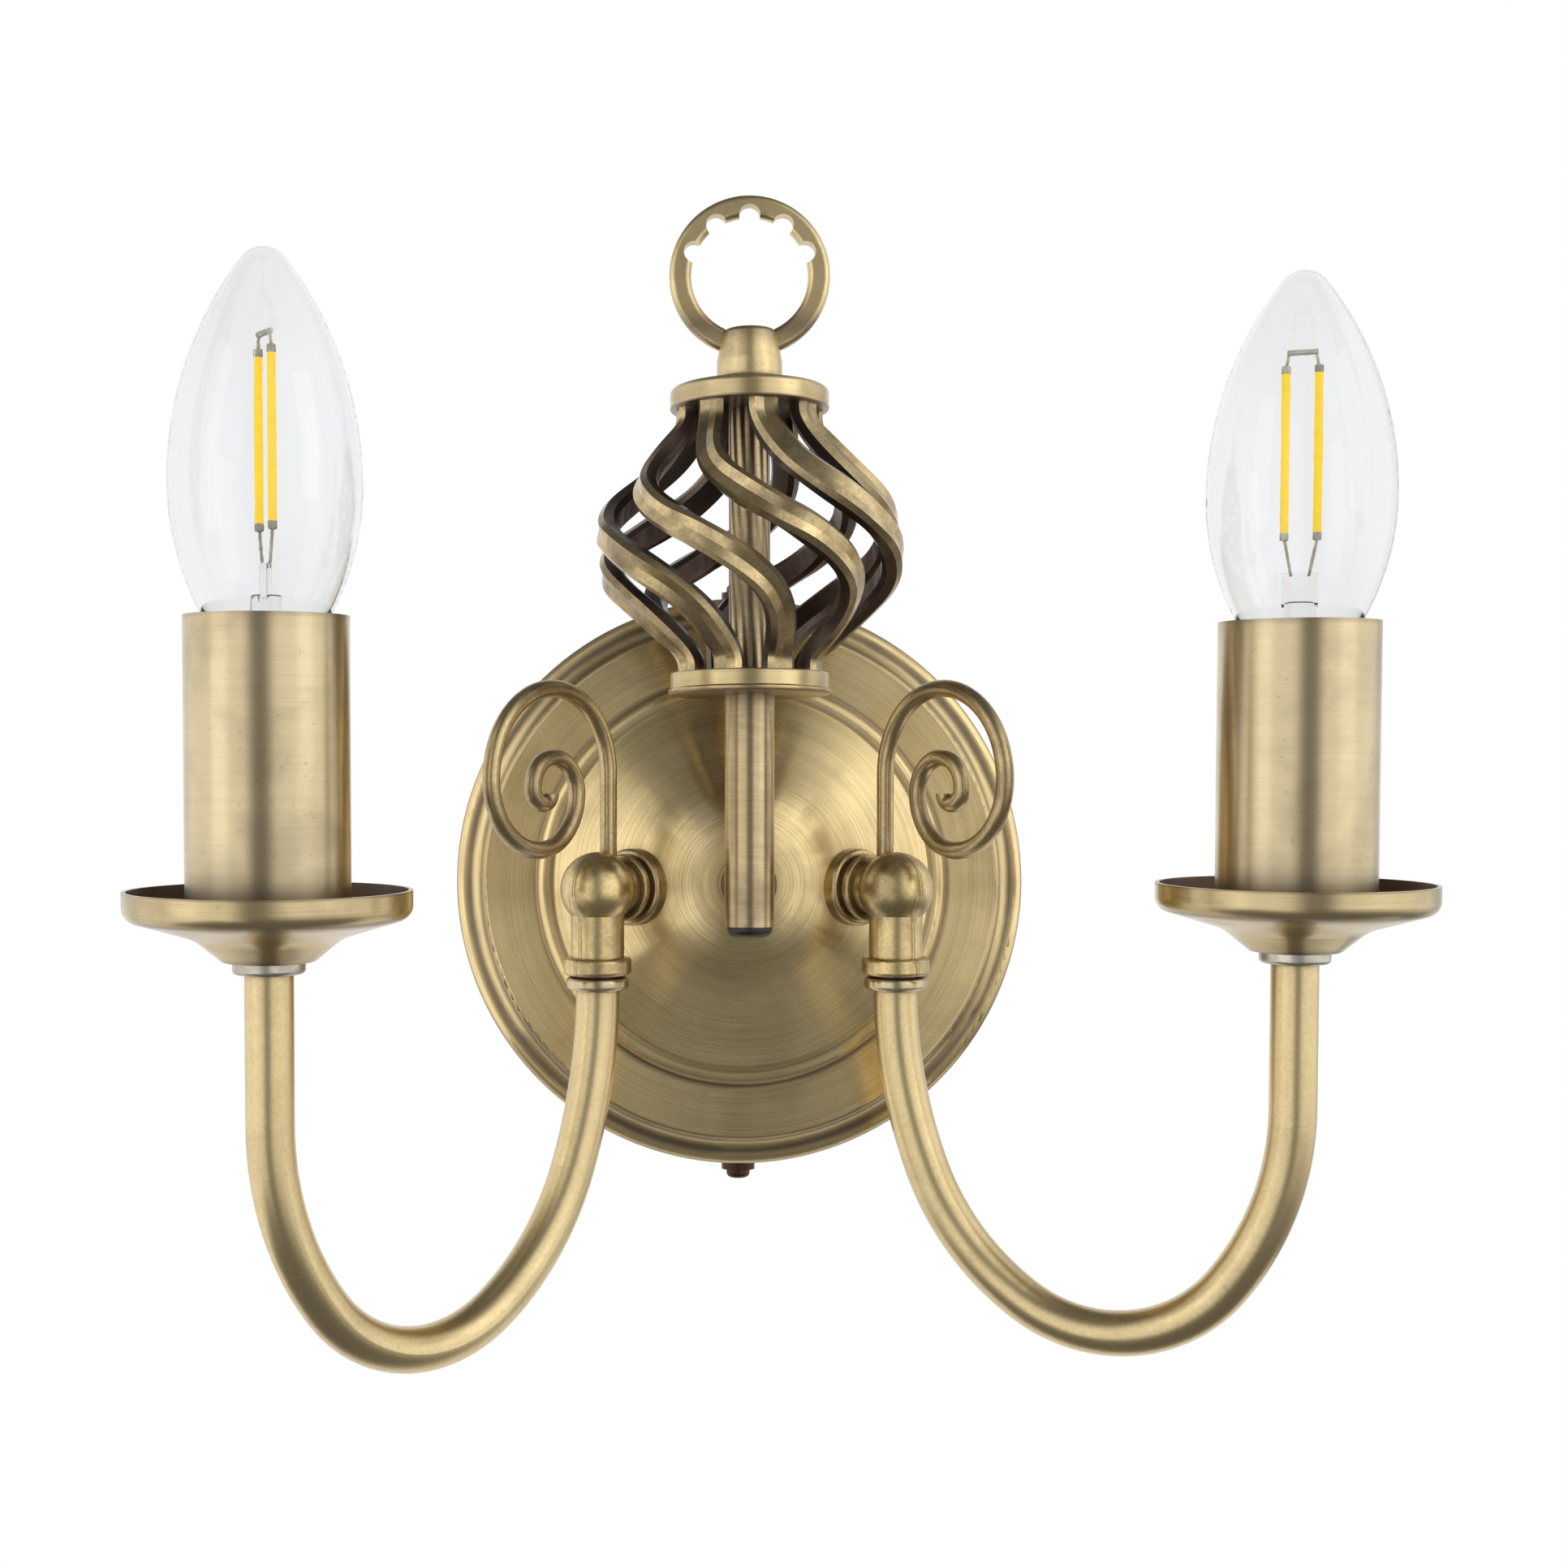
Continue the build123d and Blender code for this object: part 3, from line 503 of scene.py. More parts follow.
@dataclass(frozen=True)
class Brass:
    """Antique brass: brushed bright metal with a purple-brown tarnish; its dark mask also carries painted shade and its
    bright edges painted highlights, where settings ask for them.
    """

    light: Colour = (0.69, 0.55, 0.295, 1.0)
    deep: Colour = (0.45, 0.335, 0.155, 1.0)
    # tarnish: the colour that the whole dark mask mixes to, real tarnish and painted shade alike.
    tarnish: Colour = (0.135, 0.092, 0.075, 1.0)
    grain: Grain = Grain.TURNED
    roughness: float = 0.30
    clouds: float = 0.30
    specks: float = 0.2
    # Reach and strength of the occlusion darkening: tarnish in hollows and painted shade near other parts.
    recess_reach: float = 0.004
    recess: float = 0.8
    lines_per_mm: float = 5.0
    line_height: float = 0.22
    line_share: float = 0.40
    band_share: float = 0.22
    pull: float = 0.65
    inner: float = 0.0
    all_but_outer_tarnish_and_shade: float = 0.0
    edge_wear_and_highlight: float = 0.0
    seam: CastSeam | None = None
    lacquer: float = 0.25
    stains: tuple[Stain, ...] = ()

    def marks(self, sheet: NodeSheet, place: bpy.types.NodeSocket) -> tuple[bpy.types.NodeSocket, ...]:
        """The fine and the broad marks of the surface.

        Args:
            sheet: the material's sheet.
            place: local coordinates.

        Returns:
            The fine noise and the broad one.
        """
        if self.grain is Grain.CAST:
            return sheet.noise(place, 1400.0, in_Detail=3.0), sheet.noise(place, 240.0, in_Detail=3.0)
        group = {"node_tree": GROUPS.brushing, "in_Vector": place, "in_Lines_per_mm": self.lines_per_mm}
        brushing = sheet.add("ShaderNodeGroup", **group)
        return brushing.outputs["Line"], brushing.outputs["Band"]

    def facing(self, sheet: NodeSheet, coordinates: bpy.types.Node, centre: Triple) -> bpy.types.NodeSocket:
        """How far a surface faces away from an upright axis.

        Args:
            sheet: the material's sheet.
            coordinates: the texture coordinates.
            centre: a point on the axis.

        Returns:
            1 where it faces outwards, -1 where it faces inwards.
        """
        shift = sheet.vector("SUBTRACT", coordinates.outputs["Object"], centre)
        level = sheet.vector("MULTIPLY", shift, (1, 1, 0))
        radial = sheet.add("ShaderNodeVectorMath", operation="NORMALIZE", in_0=level)
        return sheet.vector("DOT_PRODUCT", radial.outputs[0], coordinates.outputs["Normal"], "Value")

    def turned_away(
        self, sheet: NodeSheet, facing: bpy.types.NodeSocket, band: bpy.types.NodeSocket
    ) -> bpy.types.NodeSocket:
        """Darkening by which way a surface faces.

        Args:
            sheet: the material's sheet.
            facing: 1 where it faces outwards, -1 where it faces inwards.
            band: the noise that makes the border ragged.

        Returns:
            The darkening of inner faces, or of all but the outer ones; on the cage bars that is dark tarnish together
            with painted shade on sides turned from the light, the outer faces staying bright as a painted highlight.
        """
        if self.inner:
            return sheet.spread(facing, (-0.7, -0.1), self.inner, 0.0)
        # Cage bars: sides and inner faces darkened as painted shade over their tarnish, outer faces kept bright as a
        # painted highlight.
        return sheet.spread(sheet.total(facing, sheet.sway(band, 0.5)), (0.35, 0.85), self.all_but_outer_tarnish_and_shade, 0.0)

    def worn_and_highlit_edges(self, sheet: NodeSheet) -> bpy.types.NodeSocket:
        """How much darkening is left near convex edges, which are worn bright by hands and partly lit as a painted
        highlight.

        Args:
            sheet: the material's sheet.

        Returns:
            The share that is left.
        """
        # Lightens convex edges: wear, and partly a painted highlight.
        inside = sheet.add("ShaderNodeAmbientOcclusion", samples=6, inside=True, only_local=True, in_Distance=0.0012)
        return sheet.rest(sheet.spread(inside.outputs["AO"], (0.50, 0.88), self.edge_wear_and_highlight, 0.0))

    def make(
        self, name: str, centre: Triple = (0, 0, 0), turn: Triple = (0, 0, 0), axis: str = "Z"
    ) -> bpy.types.Material:
        """Builds the material.

        Args:
            name: the material's name.
            centre: a point on the axis that the surface was turned about.
            turn: Euler angles that stand the local Z axis on that axis.
            axis: the object axis that the brushing runs round.

        Returns:
            The material.
        """
        material, sheet, coordinates = new_material(name)
        spot = {"in_Vector": coordinates.outputs["Object"], "in_Location": centre, "in_Rotation": turn}
        place = sheet.add("ShaderNodeMapping", vector_type="TEXTURE", **spot).outputs[0]
        patina = sheet.add("ShaderNodeGroup", node_tree=GROUPS.patina, in_Vector=place, in_Amount=self.clouds).outputs
        line, band = self.marks(sheet, place)
        fine = sheet.product(sheet.spread(line, (0.3, 0.7), 0.0, 1.0), self.line_share)
        broad = sheet.product(sheet.spread(band, (0.3, 0.7), 0.0, 1.0), self.band_share)
        tone = sheet.total(fine, broad)
        worn = sheet.mix(tone, self.light, self.deep)
        recess = sheet.add("ShaderNodeGroup", node_tree=GROUPS.recess, in_Reach=self.recess_reach, in_Noise=band)
        # The occlusion mask adds painted shade in corners and near other parts, along with tarnish.
        dark = sheet.largest(patina["Dark"], sheet.product(recess.outputs[0], self.recess))
        dark = sheet.total(dark, sheet.product(patina["Speck"], self.specks))
        if self.inner or self.all_but_outer_tarnish_and_shade:
            dark = sheet.largest(dark, self.turned_away(sheet, self.facing(sheet, coordinates, centre), band))
        # Lighter convex edges: wear, and partly a painted highlight.
        if self.edge_wear_and_highlight:
            dark = sheet.product(dark, self.worn_and_highlit_edges(sheet))
        if self.stains:
            x, y, z = sheet.split(place)
            radius = sheet.length(x, y)
            dark = sheet.largest(dark, *(stain.mask(sheet, z, radius, patina["Cloud"]) for stain in self.stains))
        height = line
        if self.seam:
            dark, raised = self.seam.mark(sheet, place, (patina["Cloud"], band), dark)
            height = sheet.total(line, raised)
        dark = sheet.math("MINIMUM", dark, 1.0)
        pulled = {}
        if self.grain is Grain.TURNED:
            tangent = sheet.add("ShaderNodeTangent", direction_type="RADIAL", axis=axis).outputs[0]
            pulled = {"in_Anisotropic": self.pull, "in_Anisotropic_Rotation": 0.25, "in_Tangent": tangent}
        sheet.shade(
            # The dark mask, tarnish and painted shade together, mixes the base colour towards the tarnish colour.
            in_Base_Color=sheet.mix(dark, worn, self.tarnish),
            in_Roughness=sheet.total(sheet.product(tone, 0.10), sheet.product(dark, 0.14), self.roughness),
            in_Normal=sheet.bump(height, self.line_height, 0.00004),
            in_Metallic=1.0,
            in_Coat_Weight=self.lacquer,
            in_Coat_Roughness=0.12,
            **pulled,
        )
        return material


@dataclass(frozen=True)
class Plain:
    """A plain solid finish with a fine mottled tone, for plastics, plated steel and coated parts."""

    colour: Colour
    second: Colour
    metallic: float = 0.0
    roughness: float = 0.45
    mottle: float = 300.0
    # glow: strength of a painted glow; the filament coat uses it, though the bulb is no lit lamp.
    glow: float = 0.0

    def make(self, name: str) -> bpy.types.Material:
        """Builds the material.

        Args:
            name: the material's name.

        Returns:
            The material.
        """
        material, sheet, coordinates = new_material(name)
        noise = sheet.noise(coordinates.outputs["Object"], self.mottle, in_Detail=4.0)
        share = sheet.spread(noise, (0.35, 0.65), 0.0, 1.0)
        # Emission here is painted light: the part glows though it is no lamp.
        lit = {"in_Emission_Color": self.colour, "in_Emission_Strength": self.glow} if self.glow else {}
        sheet.shade(
            in_Base_Color=sheet.mix(share, self.colour, self.second),
            in_Roughness=sheet.total(sheet.product(share, 0.12), self.roughness),
            in_Normal=sheet.bump(noise, 0.15, 0.00004),
            in_Metallic=self.metallic,
            **lit,
        )
        return material


@dataclass(frozen=True)
class ClearGlass:
    """Thin clear glass with faint ripples."""

    tint: Colour = (0.925, 0.93, 0.935, 1.0)
    index: float = 1.46
    ripple: float = 0.015

    def make(self, name: str) -> bpy.types.Material:
        """Builds the material.

        Args:
            name: the material's name.

        Returns:
            The material.
        """
        material, sheet, coordinates = new_material(name)
        noise = sheet.noise(coordinates.outputs["Object"], 90.0, in_Detail=2.0)
        sheet.shade(
            in_Base_Color=self.tint,
            in_Roughness=0.0,
            in_IOR=self.index,
            in_Transmission_Weight=1.0,
            in_Normal=sheet.bump(noise, self.ripple, 0.0002),
        )
        return material


def steel_like(first: Triple, second: Triple, roughness: float = 0.3) -> Plain:
    """A plain bare metal in two tones."""
    return Plain((*first, 1.0), (*second, 1.0), metallic=1.0, roughness=roughness)


BARE_BRASS = steel_like((0.62, 0.43, 0.14), (0.52, 0.36, 0.11))


def dress(material: bpy.types.Material, *nodes: str) -> None:
    """Puts a material on every slot of some CAD nodes.

    Args:
        material: the material.
        nodes: the nodes' names.
    """
    for node in nodes:
        for material_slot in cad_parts[node].material_slots:
            material_slot.material = material
        log.info("%s wears %s", node, material.name)


# Sub-assemblies


@dataclass
class WallParts:
    """The back plate and what holds it to the wall."""

    plate: Brass = Brass(
        roughness=0.23,
        light=(0.93, 0.74, 0.385, 1.0),
        deep=(0.52, 0.385, 0.175, 1.0),
        lines_per_mm=3.0,
        clouds=0.2,
        pull=0.9,
        line_share=0.5,
        tarnish=(0.085, 0.062, 0.06, 1.0),
        stains=(
            Stain(59.4, 1.7, 0.75, outwards=True),
            Stain(56.6, 1.3, 0.6, outwards=True),
            Stain(62.4, 0.7, 0.6, outwards=True),
            Stain(44.6, 1.4, 0.6, outwards=True),
            Stain(41.2, 0.9, 0.45, outwards=True),
        ),
    )
    zinc: Plain = steel_like((0.50, 0.51, 0.52), (0.40, 0.41, 0.43), 0.32)
    plastic: Plain = Plain((0.76, 0.74, 0.68, 1.0), (0.70, 0.68, 0.61, 1.0))
    screw: Plain = steel_like((0.105, 0.048, 0.028), (0.07, 0.035, 0.025), 0.35)

    def build(self) -> None:
        """Dresses the plate, bracket, terminals and screws."""
        dress(self.plate.make("Brushed plate brass", turn=(math.radians(90), 0, 0), axis="Y"), "back_plate")
        zinc = self.zinc.make("Zinc plated steel")
        dress(zinc, "wall_bracket", "terminal_screws", "elbow_nipples", "elbow_washers", "elbow_nuts", "column_bolt")
        dress(self.plastic.make("Pale terminal plastic"), "terminal_block")
        dress(BARE_BRASS.make("Bare brass screw"), "earth_screw")
        dress(self.screw.make("Dark copper screw"), "plate_screws", "plate_screw_washers")


@dataclass
class Column:
    """The upright tube with its collars, cage and finial."""

    tube: Brass = Brass(
        roughness=0.26, light=(0.56, 0.44, 0.245, 1.0), deep=(0.30, 0.22, 0.12, 1.0), clouds=0.45, line_share=0.3
    )
    turned: Brass = Brass(
        roughness=0.28,
        stains=(Stain(38.3, 1.0, 0.7), Stain(95.6, 1.0, 0.8), Stain(42.6, 0.5, 0.5), Stain(99.9, 0.5, 0.5)),
    )
    cast: Brass = Brass(
        grain=Grain.CAST,
        roughness=0.29,
        clouds=0.3,
        line_height=0.25,
        line_share=0.25,
        edge_wear_and_highlight=0.6,
        recess_reach=0.003,
        # Painted shade: these bands darken the lower parts of the finial's ring, near its boss.
        stains=(Stain(112.5, 6.0, 0.7), Stain(101.6, 1.3, 0.6)),
    )
    bars: Brass = Brass(
        grain=Grain.CAST,
        light=(0.70, 0.55, 0.28, 1.0),
        deep=(0.22, 0.155, 0.09, 1.0),
        line_share=0.25,
        band_share=0.45,
        line_height=0.12,
        tarnish=(0.070, 0.045, 0.043, 1.0),
        clouds=0.55,
        roughness=0.25,
        recess_reach=0.003,
        # Darkens all but the outer faces: dark bronze tarnish and painted shade, the outer faces left bright as a
        # painted highlight.
        all_but_outer_tarnish_and_shade=0.95,
        edge_wear_and_highlight=0.55,
    )
    plug: Plain = Plain((0.012, 0.012, 0.012, 1.0), (0.02, 0.02, 0.02, 1.0), roughness=0.35)
    bar_count: int = 8

    def build(self) -> None:
        """Dresses the tube, collars, cage and finial."""
        dress(self.turned.make("Brushed column brass", COLUMN_AXIS), "lower_collar", "upper_collar", "finial_washer")
        tube = self.tube.make("Brushed tube brass", COLUMN_AXIS)
        dress(tube, "column_tube", "cage_tube", "column_spacer", "column_core", "tie_rod")
        dress(self.plug.make("Black plug plastic"), "column_plug")
        dress(self.cast.make("Cast finial brass with painted shade"), "finial")
        bars = [f"cage_bar_{i}" for i in range(1, self.bar_count + 1)]
        dress(self.bars.make("Dark cage bronze", COLUMN_AXIS), *bars)


@dataclass
class FilamentSet:
    """The two coated sticks of a bulb, with their end caps, wires and glass bridge, in millimetres."""

    side: str
    turn: float
    stick_bottom: float = 65.5
    stick_top: float = 97.5
    stick_radius: float = 0.8
    stick_step: float = 3.0
    cap_length: float = 1.3
    cap_radius: float = 0.84
    cap_past: float = 0.4
    wire_radius: float = 0.28
    wire_foot: float = 1.6
    wire_lean: float = 0.8
    pinch_top: float = 58.4
    bridge_height: float = 100.3
    bridge_radius: float = 0.55
    bridge_share: float = 0.95
    bar_sides: int = 20
    end_bevel: float = 0.35
    # Painted glow: the coat's emission makes the unlit sticks shine though they are no lamp.
    coat: Plain = Plain((0.95, 0.62, 0.0, 1.0), (0.97, 0.70, 0.01, 1.0), roughness=0.5, mottle=700.0, glow=0.45)
    wire: Plain = steel_like((0.52, 0.50, 0.44), (0.34, 0.31, 0.25))

    def build(self, candle: Matrix) -> None:
        """Builds the set in one bulb.

        Args:
            candle: frame on the pan's rim, z up the candle.
        """
        at = candle @ Matrix.Rotation(math.radians(self.turn), 4, "Z")
        bottom, top = self.stick_bottom, self.stick_top
        sticks, wires = [], []
        for hand in (-1, 1):
            x = hand * self.stick_step
            sticks.append(self.round_bar((x, bottom), (x, top), self.stick_radius))
            wires.append(self.round_bar((x, bottom - self.cap_past), (x, bottom + self.cap_length), self.cap_radius))
            wires.append(self.round_bar((x, top - self.cap_length), (x, top + self.cap_past), self.cap_radius))
            wires.append(self.round_bar((hand * self.wire_foot, self.pinch_top), (x, bottom), self.wire_radius))
            wires.append(self.round_bar((x, top), (x * self.wire_lean, self.bridge_height), self.wire_radius))
        half = self.stick_step * self.bridge_share
        wires.append(self.round_bar((-half, self.bridge_height), (half, self.bridge_height), self.bridge_radius))
        stick_piece = self.join(sticks, f"{self.side}_filament_sticks", at)
        wire_piece = self.join(wires, f"{self.side}_filament_wires", at)
        stick_piece.data.materials.append(self.coat.make(f"Coated filament {self.side}"))
        wire_piece.data.materials.append(self.wire.make(f"Filament wire {self.side}"))
        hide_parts(f"{self.side}_bulb_filaments")
        for piece, finish in ((stick_piece, "filament_yellow"), (wire_piece, "silver_steel")):
            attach(piece, f"{self.side}_bulb")
            log.info("%s built", piece.name)

    def round_bar(self, start: Span, end: Span, radius: float) -> bpy.types.Object:
        """A round bar between two points of the set's plane, its ends drawn in by a bevel.

        Args:
            start: x and z of one end.
            end: x and z of the other end.
            radius: the bar's radius.

        Returns:
            The bar's object.
        """
        low, high = Vector((start[0], 0, start[1])) * MM, Vector((end[0], 0, end[1])) * MM
        bpy.ops.object.select_all(action="DESELECT")
        bpy.ops.mesh.primitive_cylinder_add(
            vertices=self.bar_sides,
            radius=radius * MM,
            depth=(high - low).length,
            location=(low + high) / 2,
            rotation=(high - low).to_track_quat("Z", "Y").to_euler(),
        )
        bar = bpy.context.object
        bpy.ops.object.mode_set(mode="EDIT")
        bpy.ops.mesh.select_all(action="DESELECT")
        bpy.ops.object.mode_set(mode="OBJECT")
        for face in bar.data.polygons:
            face.select = len(face.vertices) > 4
        bpy.ops.object.mode_set(mode="EDIT")
        bpy.ops.mesh.select_mode(type="FACE")
        bpy.ops.mesh.bevel(offset=radius * self.end_bevel * MM, segments=2, affect="EDGES")
        bpy.ops.object.mode_set(mode="OBJECT")
        return bar

    def join(self, bars: list[bpy.types.Object], name: str, at: Matrix) -> bpy.types.Object:
        """Joins bars into one piece and stands it in its place.

        Args:
            bars: the bars to join.
            name: the piece's name.
            at: where the piece goes.

        Returns:
            The piece, at the origin with its place in its mesh.
        """
        bpy.ops.object.select_all(action="DESELECT")
        for bar in bars:
            bar.select_set(True)
        bpy.context.view_layer.objects.active = bars[0]
        bpy.ops.object.join()
        piece = bpy.context.object
        piece.name = name
        piece.data.name = name
        bpy.ops.object.transform_apply(location=True, rotation=True, scale=True)
        piece.matrix_world = at
        bpy.ops.object.transform_apply(location=True, rotation=True, scale=True)
        bpy.ops.object.shade_smooth_by_angle(angle=math.radians(40))
        return piece


@dataclass
class Arm:
    """One side: elbow, scroll, arm, pan, candle sleeve and bulb."""

    place: SidePlace
    reach: float = 79.88
    rim_rise: float = 3.3
    wire: Brass = Brass(
        grain=Grain.CAST,
        light=(0.54, 0.42, 0.215, 1.0),
        deep=(0.32, 0.23, 0.11, 1.0),
        roughness=0.28,
        clouds=0.45,
        line_height=0.15,
        recess_reach=0.006,
    )
    cast: Brass = Brass(
        grain=Grain.CAST,
        light=(0.72, 0.56, 0.27, 1.0),
        deep=(0.42, 0.305, 0.14, 1.0),
        roughness=0.27,
        clouds=0.5,
        line_height=0.3,
        edge_wear_and_highlight=0.6,
        seam=CastSeam(),
    )
    tube: Brass = Brass(
        grain=Grain.CAST, roughness=0.30, clouds=0.12, line_height=0.12, line_share=0.25, band_share=0.1
    )
    turned: Brass = Brass(
        light=(0.62, 0.51, 0.315, 1.0),
        deep=(0.42, 0.33, 0.18, 1.0),
        roughness=0.27,
        clouds=0.25,
        lines_per_mm=9.0,
        line_share=0.3,
        band_share=0.06,
        line_height=0.12,
        stains=(Stain(-4.0, 15.0, 0.5), Stain(49.7, 1.4, 0.35)),
    )
    pan: Brass = Brass(
        light=(0.60, 0.48, 0.27, 1.0),
        roughness=0.27,
        clouds=0.35,
        band_share=0.08,
        inner=0.95,
        stains=(Stain(-5.2, 1.0, 0.6), Stain(-13.0, 1.6, 0.6), Stain(0.0, 0.5, 0.5)),
    )
    steel: Plain = steel_like((0.58, 0.54, 0.47), (0.44, 0.40, 0.34))
    holder: Plain = Plain((0.02, 0.02, 0.02, 1.0), (0.03, 0.03, 0.03, 1.0), roughness=0.4)
    glass: ClearGlass = ClearGlass()

    def build(self) -> None:
        """Dresses this side's nodes and builds its filaments."""
        side = self.place.side.value
        socket = self.place.frame(self.place.swing)
        candle = self.place.frame(self.place.swing, self.reach, self.rim_rise)
        scroll = self.place.frame(self.place.scroll_swing)
        for piece, finish, title, stand in (
            ("elbow", self.cast, "Cast elbow brass", scroll),
            ("scroll", self.wire, "Bent wire brass", Matrix()),
            ("arm_tube", self.tube, "Brushed arm brass", Matrix()),
            ("arm_collar", self.turned, "Turned collar brass", socket),
            ("candle_tube", self.turned, "Turned candle brass", candle),
            ("drip_pan", self.pan, "Turned pan brass", candle),
        ):
            material = finish.make(f"{title} {side}", tuple(stand.translation), tuple(stand.to_euler()))
            dress(material, f"{side}_{piece}")
        for finish, title, pieces in (
            (self.steel, "Satin nickel", ("pan_ferrule", "bulb_cap", "bulb_contact", "holder_nipple")),
            (self.holder, "Black holder plastic", ("lampholder",)),
            (BARE_BRASS, "Bare shell brass", ("holder_shell",)),
            (self.glass, "Clear bulb glass", ("bulb_glass", "bulb_stem")),
        ):
            dress(finish.make(f"{title} {side}"), *(f"{side}_{piece}" for piece in pieces))
        FilamentSet(side, self.place.filament_turn).build(candle)


# Studio


@dataclass(frozen=True)
class LightWall:
    """One bright side of the light tent, in degrees round from the camera's side and in heights of the sky."""

    hand: float
    level: float
    starts: Span
    ends: Span
    tail: float
    foot: Span
    top: Span
    dim_share: float = 0.15

    def glow(
        self, sheet: NodeSheet, around: bpy.types.NodeSocket, height: bpy.types.NodeSocket
    ) -> bpy.types.NodeSocket:
        """The wall's light.

        Args:
            sheet: the world's sheet.
            around: the ray's angle round from the camera's side.
            height: the ray's height, from -1 to 1.

        Returns:
            The light's level.
        """
        turn = sheet.product(around, self.hand)
        return sheet.product(
            sheet.spread(turn, self.radians(self.starts), 0.0, self.level),
            sheet.spread(turn, self.radians(self.ends), 1.0, self.tail),
            sheet.spread(height, self.foot, self.dim_share, 1.0),
            sheet.spread(height, self.top, 1.0, self.dim_share),
        )

    def radians(self, span: Span) -> Span:
        """A span of degrees in radians."""
        return math.radians(span[0]), math.radians(span[1])


@dataclass(frozen=True)
class Lamp:
    """A soft box that looks at the lamp's middle, in metres and watts."""

    name: str
    place: Triple
    size: Span
    power: float
    target: Triple = (0.0, -0.05, 0.0)

    def build(self) -> None:
        """Hangs the soft box."""
        light = bpy.data.lights.new(self.name, "AREA")
        light.shape = "RECTANGLE"
        light.size, light.size_y = self.size
        light.energy = self.power
        lamp = bpy.data.objects.new(self.name, light)
        lamp.location = self.place
        lamp.rotation_euler = (Vector(self.target) - Vector(self.place)).to_track_quat("-Z", "Y").to_euler()
        bpy.context.scene.collection.objects.link(lamp)


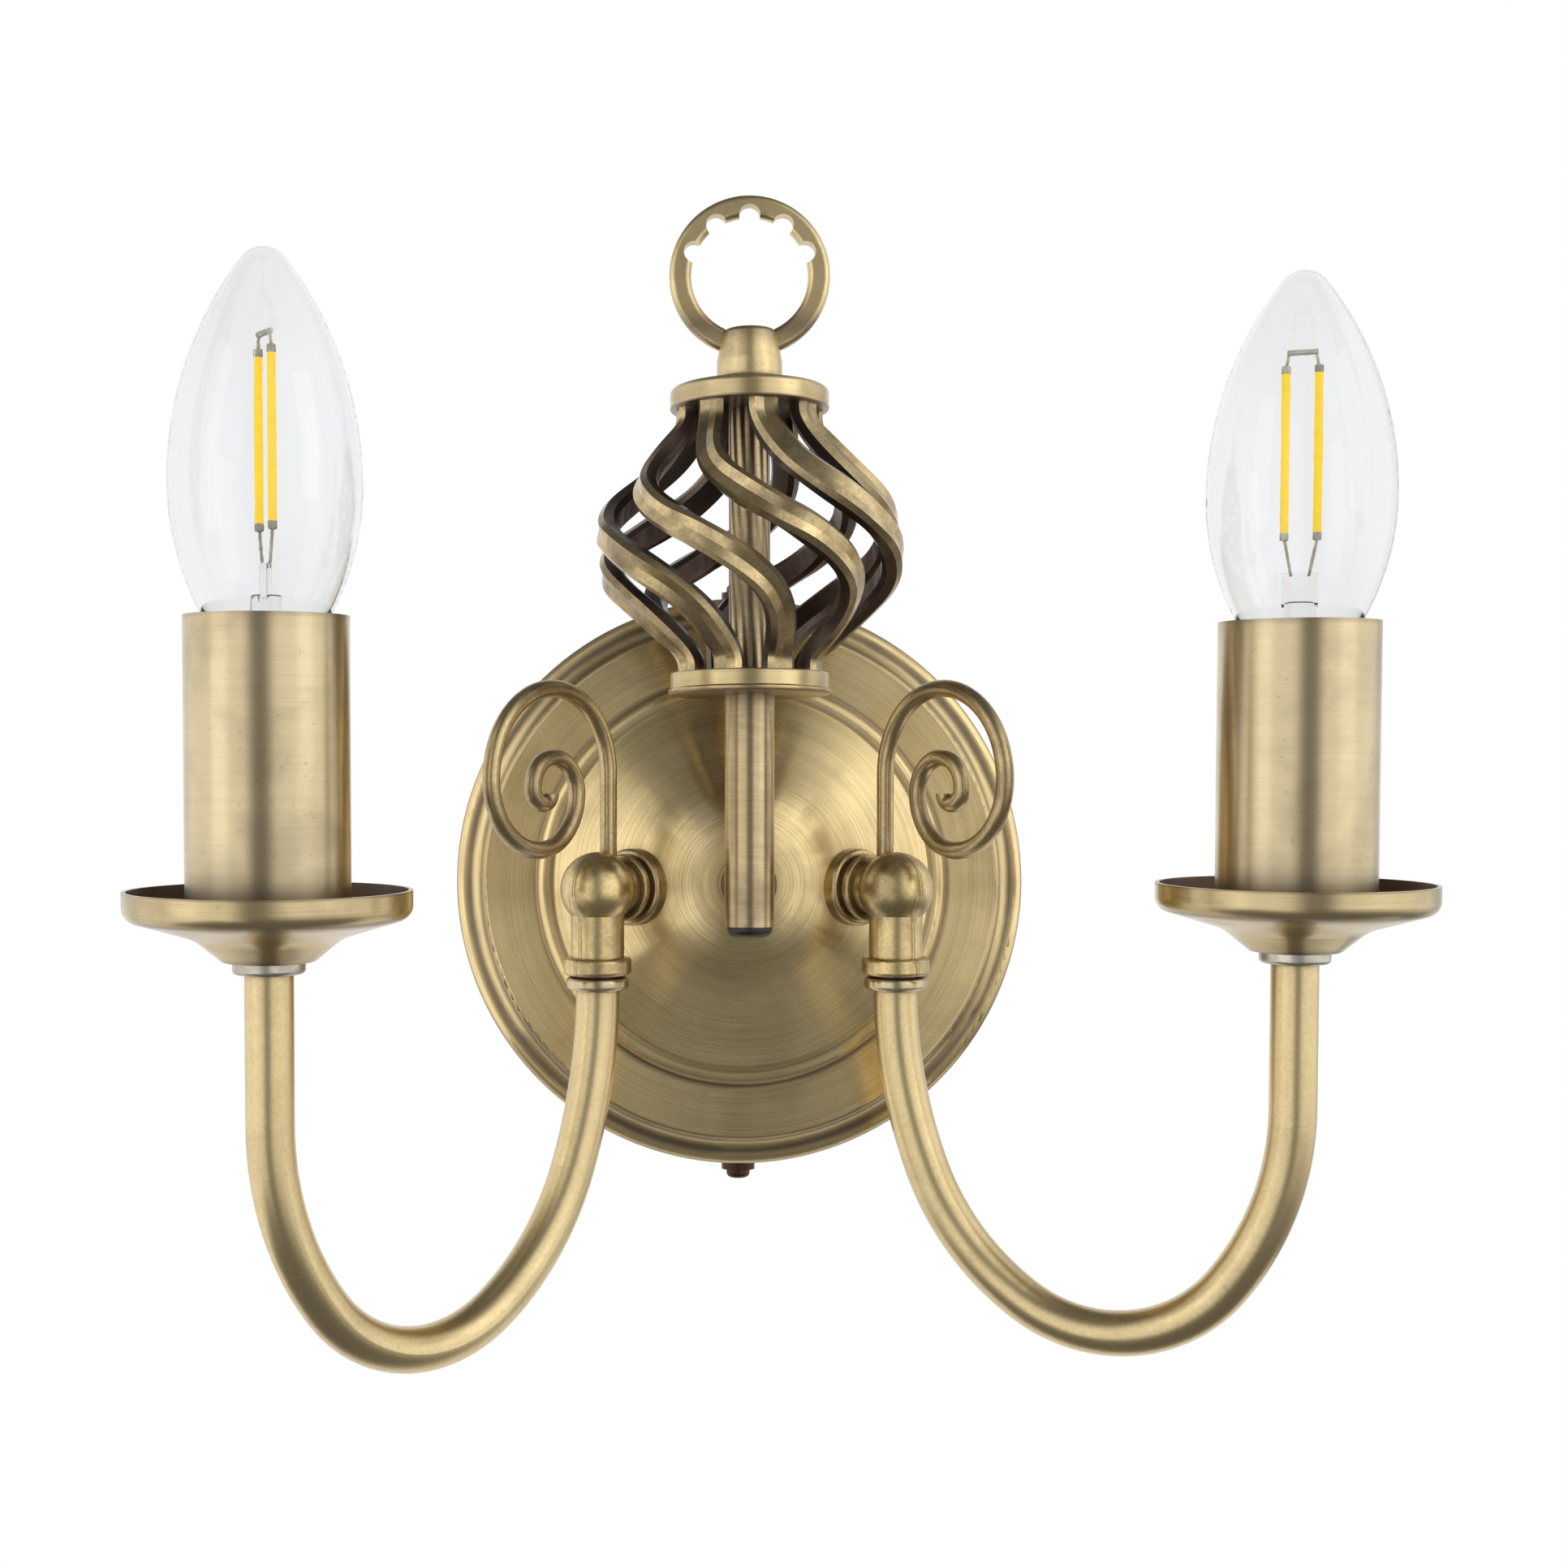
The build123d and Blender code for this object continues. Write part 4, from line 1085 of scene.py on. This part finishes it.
@dataclass
class Studio:
    """Floor, world, soft boxes and the camera at the photograph's place."""

    floor_place: Triple = (0.0, -0.08, -0.30)
    floor_size: float = 0.8
    floor_tone: Colour = (0.9, 0.9, 0.9, 1.0)
    floor_lift: float = 0.5
    floor_dim: float = 0.16
    floor_behind: Span = (0.02, 0.12)
    camera_place: Triple = (-0.0234, -0.4921, 0.0091)
    focal_mm: float = 50.0
    sensor_mm: float = 36.0
    frame_px: float = 1932.0
    principal_px: Span = (780.5, 1034.9)
    front_level: float = 0.28
    floor_share: float = 0.5
    floor_fade: Span = (-0.80, -0.05)
    ceiling_share: float = 0.5
    ceiling_fade: Span = (0.30, 0.90)
    world_behind: Span = (0.50, 0.92)
    walls: tuple[LightWall, ...] = (
        LightWall(-1.0, 1.2, (1.0, 26.0), (112.0, 160.0), 0.5, (-0.97, -0.5), (0.30, 0.80)),
        LightWall(1.0, 1.3, (1.0, 24.0), (98.0, 145.0), 0.3, (-0.60, -0.10), (0.55, 0.97)),
    )
    lamps: tuple[Lamp, ...] = (
        Lamp("left box", (-0.62, -0.42, 0.22), (0.30, 0.70), 0.3),
        Lamp("right box", (0.62, -0.45, 0.30), (0.34, 0.60), 0.4),
    )

    def build(self) -> None:
        """Builds the whole studio."""
        self.make_floor()
        self.make_world()
        for lamp in self.lamps:
            lamp.build()
        self.make_camera()
        bpy.context.scene.view_settings.view_transform = "Standard"

    def seen(self, sheet: NodeSheet, behind: bpy.types.NodeSocket) -> bpy.types.NodeSocket:
        """Share of the white background that a ray sees: camera and glass rays all of it, mirrored rays what is behind.

        Args:
            sheet: the floor's or the world's sheet.
            behind: 1 where the background lies behind the object.

        Returns:
            The share.
        """
        rays = sheet.add("ShaderNodeLightPath").outputs
        mirrored = sheet.product(rays["Is Glossy Ray"], behind)
        return sheet.largest(rays["Is Camera Ray"], rays["Is Transmission Ray"], mirrored)

    def make_floor(self) -> None:
        """A plain pale floor that stays behind the lower edge of the photograph."""
        bpy.ops.object.select_all(action="DESELECT")
        bpy.ops.mesh.primitive_plane_add(size=self.floor_size, location=self.floor_place)
        floor = bpy.context.object
        floor.name = "floor"
        material, sheet, coordinates = new_material("Pale floor")
        matte = sheet.add("ShaderNodeBsdfDiffuse", in_Color=self.floor_tone).outputs[0]
        lift = sheet.add("ShaderNodeEmission", in_Color=WHITE, in_Strength=self.floor_lift).outputs[0]
        lit = sheet.add("ShaderNodeAddShader", in_0=matte, in_1=lift).outputs[0]
        dim = sheet.add("ShaderNodeEmission", in_Color=WHITE, in_Strength=self.floor_dim).outputs[0]
        back = sheet.split(coordinates.outputs["Object"])[1]
        seen = self.seen(sheet, sheet.spread(back, self.floor_behind, 0.0, 1.0))
        both = sheet.add("ShaderNodeMixShader", in_0=seen, in_1=dim, in_2=lit).outputs[0]
        sheet.add("ShaderNodeOutputMaterial", in_0=both)
        floor.data.materials.append(material)

    def make_world(self) -> None:
        """White behind the object; the metal mirrors a light tent with bright sides and a dim front, top and floor."""
        world = bpy.data.worlds.new("Studio")
        bpy.context.scene.world = world
        world.use_nodes = True
        sheet = NodeSheet(world.node_tree)
        x, y, z = sheet.split(sheet.add("ShaderNodeTexCoord").outputs["Generated"])
        around = sheet.math("ARCTAN2", x, sheet.product(y, -1.0))
        front = sheet.product(
            sheet.spread(z, self.floor_fade, self.floor_share, 1.0),
            sheet.spread(z, self.ceiling_fade, 1.0, self.ceiling_share),
            self.front_level,
        )
        level = sheet.largest(front, *(wall.glow(sheet, around, z) for wall in self.walls))
        seen = self.seen(sheet, sheet.spread(y, self.world_behind, 0.0, 1.0))
        white = sheet.add("ShaderNodeBackground", in_Color=WHITE, in_Strength=1.0).outputs[0]
        room = sheet.add("ShaderNodeBackground", in_Color=WHITE, in_Strength=level).outputs[0]
        pick = sheet.add("ShaderNodeMixShader", in_0=seen, in_1=room, in_2=white).outputs[0]
        sheet.add("ShaderNodeOutputWorld", in_0=pick)

    def make_camera(self) -> None:
        """A level camera square to the wall, framed by lens shift."""
        data = bpy.data.cameras.new("camera")
        data.lens = self.focal_mm
        data.sensor_width = self.sensor_mm
        data.shift_x = (self.frame_px / 2 - self.principal_px[0]) / self.frame_px
        data.shift_y = (self.principal_px[1] - self.frame_px / 2) / self.frame_px
        camera = bpy.data.objects.new("camera", data)
        camera.location = self.camera_place
        camera.rotation_euler = (math.radians(90), 0, 0)
        bpy.context.scene.collection.objects.link(camera)
        bpy.context.scene.camera = camera


def main() -> None:
    """Builds the sub-assemblies and the studio in order."""
    bpy.ops.object.select_all(action="DESELECT")
    WallParts().build()
    Column().build()
    for place in PLACES:
        Arm(place).build()
    Studio().build()


if __name__ == "__main__":
    main()
